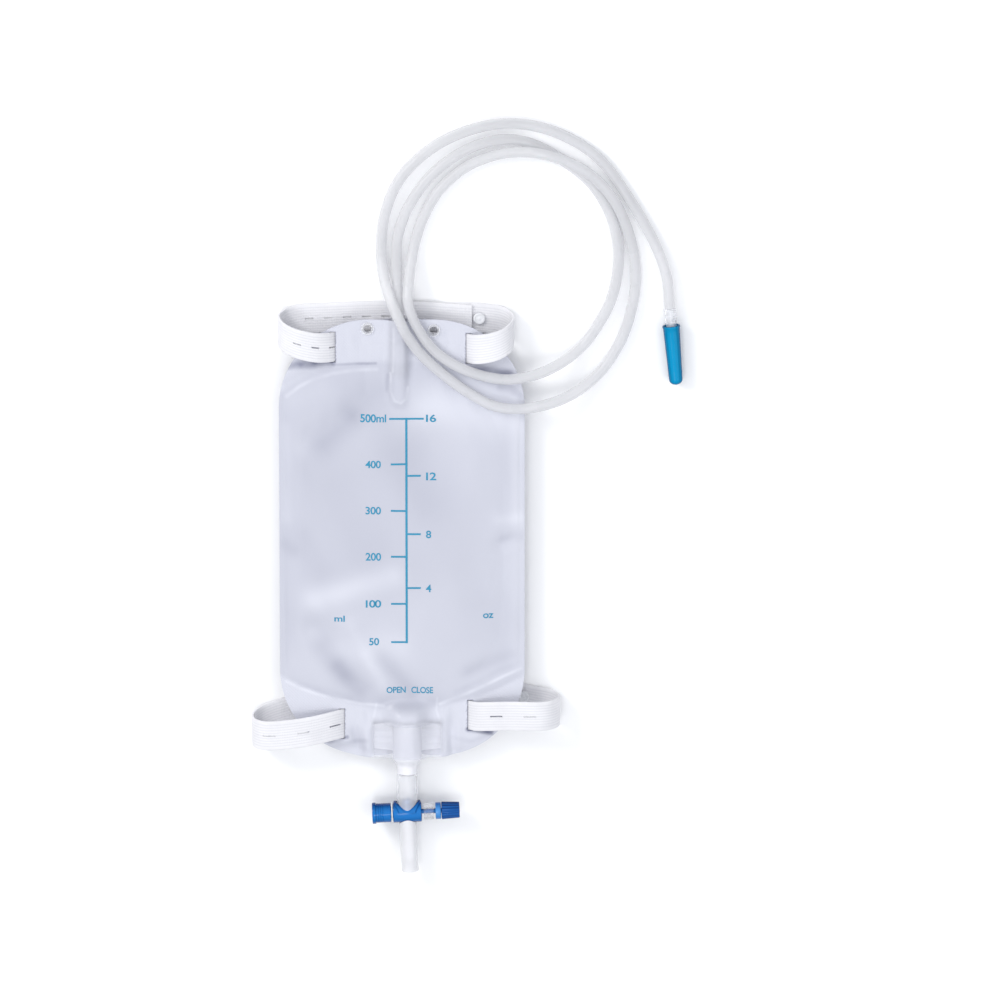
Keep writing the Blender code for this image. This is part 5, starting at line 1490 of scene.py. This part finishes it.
def outlet_fitting():
    # Wide tube, taper and neck, with the wings joined on
    end_wide = PORT_RIM_Y - PORT_WIDE_LENGTH
    end_taper = end_wide - PORT_TAPER
    end = end_taper - PORT_NECK_LENGTH
    wide_bore = PORT_RADIUS - PORT_WALL
    seat = CLEAR_BORE + GAP
    profile = [(PORT_RIM_Y, wide_bore), (PORT_RIM_Y, PORT_RADIUS - EDGE)]
    profile += [(PORT_RIM_Y - EDGE, PORT_RADIUS), (end_wide, PORT_RADIUS)]
    for i in range(1, 8):
        swing = fade(i / 8, 0.0, 1.0)
        profile.append((end_wide - PORT_TAPER * i / 8, PORT_RADIUS + (CLEAR_RADIUS - PORT_RADIUS) * swing))
    profile += [(end_taper, CLEAR_RADIUS), (end + FINE_EDGE, CLEAR_RADIUS), (end, CLEAR_RADIUS - FINE_EDGE)]
    profile += [(end, seat), (end + CLEAR_SPIGOT + GAP, seat), (end_wide, wide_bore)]
    port = turned_object("outlet_fitting", profile, 72, "Y", PORT_FRAME)
    wings = welding_wings()
    inside = rod(wide_bore, end_wide + FINE_EDGE, PORT_RIM_Y + 0.002, "Y", PORT_FRAME)
    carve(wings, [("DIFFERENCE", inside)])
    carve(port, [("UNION", wings)])
    return dress(port, FROSTED, "bag", ["outlet_port"])


def clear_tube():
    # Tube with a spigot up into the port and a fish-mouth seat on the tap's barrel
    top = PORT_RIM_Y - PORT_WIDE_LENGTH - PORT_TAPER - PORT_NECK_LENGTH - GAP
    spigot_bore = CLEAR_BORE - CLEAR_SPIGOT_WALL
    profile = [(top + CLEAR_SPIGOT, spigot_bore), (top + CLEAR_SPIGOT, CLEAR_BORE - FINE_EDGE)]
    profile += [(top + CLEAR_SPIGOT - 0.0006, CLEAR_BORE), (top, CLEAR_BORE)]
    profile += [(top, CLEAR_RADIUS - FINE_EDGE), (top - FINE_EDGE, CLEAR_RADIUS)]
    profile += [(TAP_AXIS_Y, CLEAR_RADIUS), (TAP_AXIS_Y, CLEAR_BORE), (top - 0.0010, CLEAR_BORE)]
    profile += [(top, spigot_bore)]
    tube = turned_object("clear_outlet_tube", profile, 72, "Y", PORT_FRAME)
    carve(tube, [("DIFFERENCE", rod(BARREL_RADIUS + GAP, -SEAT_REACH, SEAT_REACH, "X", TAP))])
    return dress(tube, CLEAR, "bag", ["outlet_tube"])


eyelet("eyelet_left", EYELET_LEFT, "hanging_eyelet_left")
eyelet("eyelet_right", EYELET_RIGHT, "hanging_eyelet_right")
inlet_sleeve()
outlet_fitting()
clear_tube()


# Push tap

SPOOL_LEFT = -(BARREL_LENGTH / 2 + GAP + WASHER + GAP)
COLLAR_START = BARREL_LENGTH / 2 + PLUNGER_STROKE + STROKE_SPARE
HEAD_START = SPOOL_LEFT - HEAD_LENGTH
KNOB_START = COLLAR_START + COLLAR_LENGTH + GAP
SLEEVE_LEFT = BARREL_LENGTH / 2 + SLEEVE_START
# How far the neck's peg reaches into the knob
PEG_LENGTH = KNOB_LENGTH * 0.6
SEAL_PLACES = (-0.0046, 0.0038)
HEAD_WALL = 0.0013


def saddle(half, inside):
    # Raised pad on the barrel, round the seat of the outlet tube
    blank = rod(BARREL_RADIUS + SADDLE_RISE, -half, half, "X", TAP, 72)
    seat = CLEAR_RADIUS + 3 * GAP
    far = 0.02
    carve(blank, [("INTERSECT", rod(seat + SADDLE_RIM, 0.001, far, "Y", TAP, 72)),
                  ("DIFFERENCE", rod(seat, 0.0, far, "Y", TAP, 72)),
                  ("DIFFERENCE", rod(inside, -far, far, "X", TAP, 72))])
    return blank


def barrel():
    # Barrel with its saddle, a spigot on each side and the channel through them
    half = BARREL_LENGTH / 2
    edge = 0.0004
    nick = 0.00012
    profile = [(-half, BARREL_BORE), (-half, BARREL_RADIUS - edge)]
    profile += [(-half + nick, BARREL_RADIUS - nick), (-half + edge, BARREL_RADIUS)]
    profile += [(half - edge, BARREL_RADIUS), (half - nick, BARREL_RADIUS - nick)]
    profile += [(half, BARREL_RADIUS - edge), (half, BARREL_BORE)]
    body = turned_object("tap_barrel", profile, 72, "X", TAP)
    inside = BARREL_BORE + FINE_EDGE
    steps = [("UNION", saddle(half - edge, inside))]
    for way in (1, -1):
        tip = way * (BARREL_RADIUS + SPIGOT_LENGTH)
        start = way * inside
        spigot = [(start, 0.0), (start, TAP_SPIGOT), (tip - way * EDGE, TAP_SPIGOT)]
        spigot += [(tip, TAP_SPIGOT - EDGE), (tip, 0.0)]
        steps.append(("UNION", turned_object("cutter", spigot, 48, "Y", TAP)))
    reach = BARREL_RADIUS + SPIGOT_LENGTH + 0.001
    steps.append(("DIFFERENCE", rod(CHANNEL_RADIUS, -reach, reach, "Y", TAP, 48)))
    carve(body, steps)
    return dress(body, ROYAL, "bag", ["tap_body"])


def spool():
    # Finger flange, head with fine grip rings, spool with its seal grooves, neck and the knob's peg
    flange = HEAD_START - FLANGE_LENGTH
    recess_floor = flange + FINGER_RECESS
    stem = LAND_RADIUS - SPOOL_STEM
    peg = KNOB_START + PEG_LENGTH
    recess = HEAD_RADIUS - HEAD_WALL
    profile = [(recess_floor, 0.0), (recess_floor, recess - EDGE), (recess_floor - EDGE, recess)]
    profile += [(flange + FINE_EDGE, recess), (flange, recess + FINE_EDGE), (flange, FLANGE_RADIUS - EDGE)]
    profile += [(flange + 0.0001, FLANGE_RADIUS - 0.0001)]
    profile += [(flange + EDGE, FLANGE_RADIUS), (HEAD_START - EDGE, FLANGE_RADIUS), (HEAD_START, HEAD_RADIUS)]
    profile += rings_round(HEAD_START + 0.0012, 0.0012, 3, HEAD_RADIUS,
                           (0.0, 0.0), (0.00015, 0.00015), (0.00030, 0.0))
    profile += [(SPOOL_LEFT - FINE_EDGE, HEAD_RADIUS), (SPOOL_LEFT, HEAD_RADIUS - FINE_EDGE)]
    land = -BARREL_LENGTH / 2 + FINE_EDGE
    profile += [(SPOOL_LEFT, stem), (land, stem), (land, LAND_RADIUS)]
    for place in SEAL_PLACES:
        start = place - GROOVE_WIDTH / 2
        end = place + GROOVE_WIDTH / 2
        profile += [(start, LAND_RADIUS), (start, GROOVE_FLOOR), (end, GROOVE_FLOOR), (end, LAND_RADIUS)]
    profile += [(LAND_END, LAND_RADIUS), (LAND_END, NECK_RADIUS), (peg - EDGE, NECK_RADIUS)]
    profile += [(peg, NECK_RADIUS - EDGE), (peg, 0.0)]
    piece = turned_object("tap_spool", profile, 72, "X", TAP)
    return dress(piece, ROYAL, "plunger", ["tap_plunger"])


def plunger_ring(name, start, length, inner, outer, edge, material, node):
    end = start + length
    profile = [(start, inner), (start, outer - edge)] + quarter(start + edge, outer - edge, edge, 180, 3)
    profile += quarter(end - edge, outer - edge, edge, 90, 3) + [(end, inner)]
    piece = turned_object(name, profile, 64, "X", TAP)
    return dress(piece, material, "plunger", [node])


def seal_ring(number, place):
    # Round ring in one of the spool's grooves
    profile = arc((place, SEAL_RING), SEAL_SECTION, 0.0, 2 * math.pi * 15 / 16, 15)
    piece = turned_object(f"spool_seal_{number}", profile, 48, "X", TAP)
    return dress(piece, SILICONE, "plunger", [f"seal_ring_{number}"])


def ribbed_knob():
    # Tapered knob with rounded ribs along its side and a dished end
    end = KNOB_START + KNOB_LENGTH
    spread = 0.0005
    side = [(KNOB_START, KNOB_ROOT - spread), (KNOB_START + spread * 0.3, KNOB_ROOT - spread * 0.3)]
    side += [(KNOB_START + spread, KNOB_ROOT), (end - spread, KNOB_TIP)]
    side += [(end - spread * 0.3, KNOB_TIP - spread * 0.3), (end, KNOB_TIP - spread)]
    dish = [(end, KNOB_TIP * 0.62), (end - 0.0004, KNOB_TIP * 0.56)]
    turns = [i / 8 for i in range(KNOB_RIBS * 8)]
    bm = bmesh.new()
    rings = []
    for along, radius in side + dish:
        ring = []
        for turn in turns:
            a = 2 * math.pi * turn / KNOB_RIBS
            valley = 0.5 - 0.5 * math.cos(2 * math.pi * turn)
            out = radius - (KNOB_RIB_DEPTH * valley ** 1.5 if (along, radius) in side else 0.0)
            ring.append(bm.verts.new((along, out * math.cos(a), out * math.sin(a))))
        rings.append(ring)
    lofted(bm, rings)
    knob = loose_object("ribbed_knob", bm, TAP)
    hole = rod(NECK_RADIUS + GAP, KNOB_START - 0.001, KNOB_START + PEG_LENGTH + 2 * GAP, "X", TAP, 32)
    carve(knob, [("DIFFERENCE", hole)])
    return dress(knob, DARK, "plunger", ["plunger_knob"])


def spout():
    # Soft spout with a rounded lip and a fish-mouth seat under the barrel
    end = -NOZZLE_END
    rounding = (NOZZLE_RADIUS - NOZZLE_BORE) * 0.5
    profile = [(-0.002, NOZZLE_BORE), (-0.002, NOZZLE_RADIUS), (end + rounding, NOZZLE_RADIUS)]
    profile += arc((end + rounding, NOZZLE_RADIUS - rounding), rounding, math.pi / 2, math.pi, 8)[1:]
    profile += [(end, NOZZLE_BORE + FINE_EDGE), (end + FINE_EDGE, NOZZLE_BORE)]
    nozzle = turned_object("drain_spout", profile, 72, "Y", TAP)
    carve(nozzle, [("DIFFERENCE", rod(BARREL_RADIUS + GAP, -SEAT_REACH, SEAT_REACH, "X", TAP, 72))])
    return dress(nozzle, SOFT, "bag", ["drain_nozzle"])


barrel()
spool()
plunger_ring("white_washer", SPOOL_LEFT + GAP, WASHER, LAND_RADIUS - SPOOL_STEM + GAP, HEAD_RADIUS,
             0.5 * FINE_EDGE, SILICONE, "stop_washer")
for number, spot in enumerate(SEAL_PLACES, 1):
    seal_ring(number, spot)
plunger_ring("clear_sleeve", SLEEVE_LEFT, SLEEVE_LENGTH, NECK_RADIUS + GAP, LAND_RADIUS,
             FINE_EDGE, SLEEVE, "plunger_sleeve")
plunger_ring("pale_collar", COLLAR_START, COLLAR_LENGTH, NECK_RADIUS + GAP, COLLAR_RADIUS,
             EDGE, PALE, "plunger_collar")
ribbed_knob()
spout()

# The valve in the mouth of the chamber keeps its CAD form, in soft clear film
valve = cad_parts["anti_reflux_valve"]
valve.data.materials.clear()
valve.data.materials.append(SOFT)


# Floor

bm = bmesh.new()
bmesh.ops.create_grid(bm, x_segments=2, y_segments=2, size=4.0)
floor = loose_object("floor", bm, Matrix.Translation((0.0, 0.0, -0.0001)))
floor.data.materials.append(FLOOR)

bpy.context.view_layer.update()
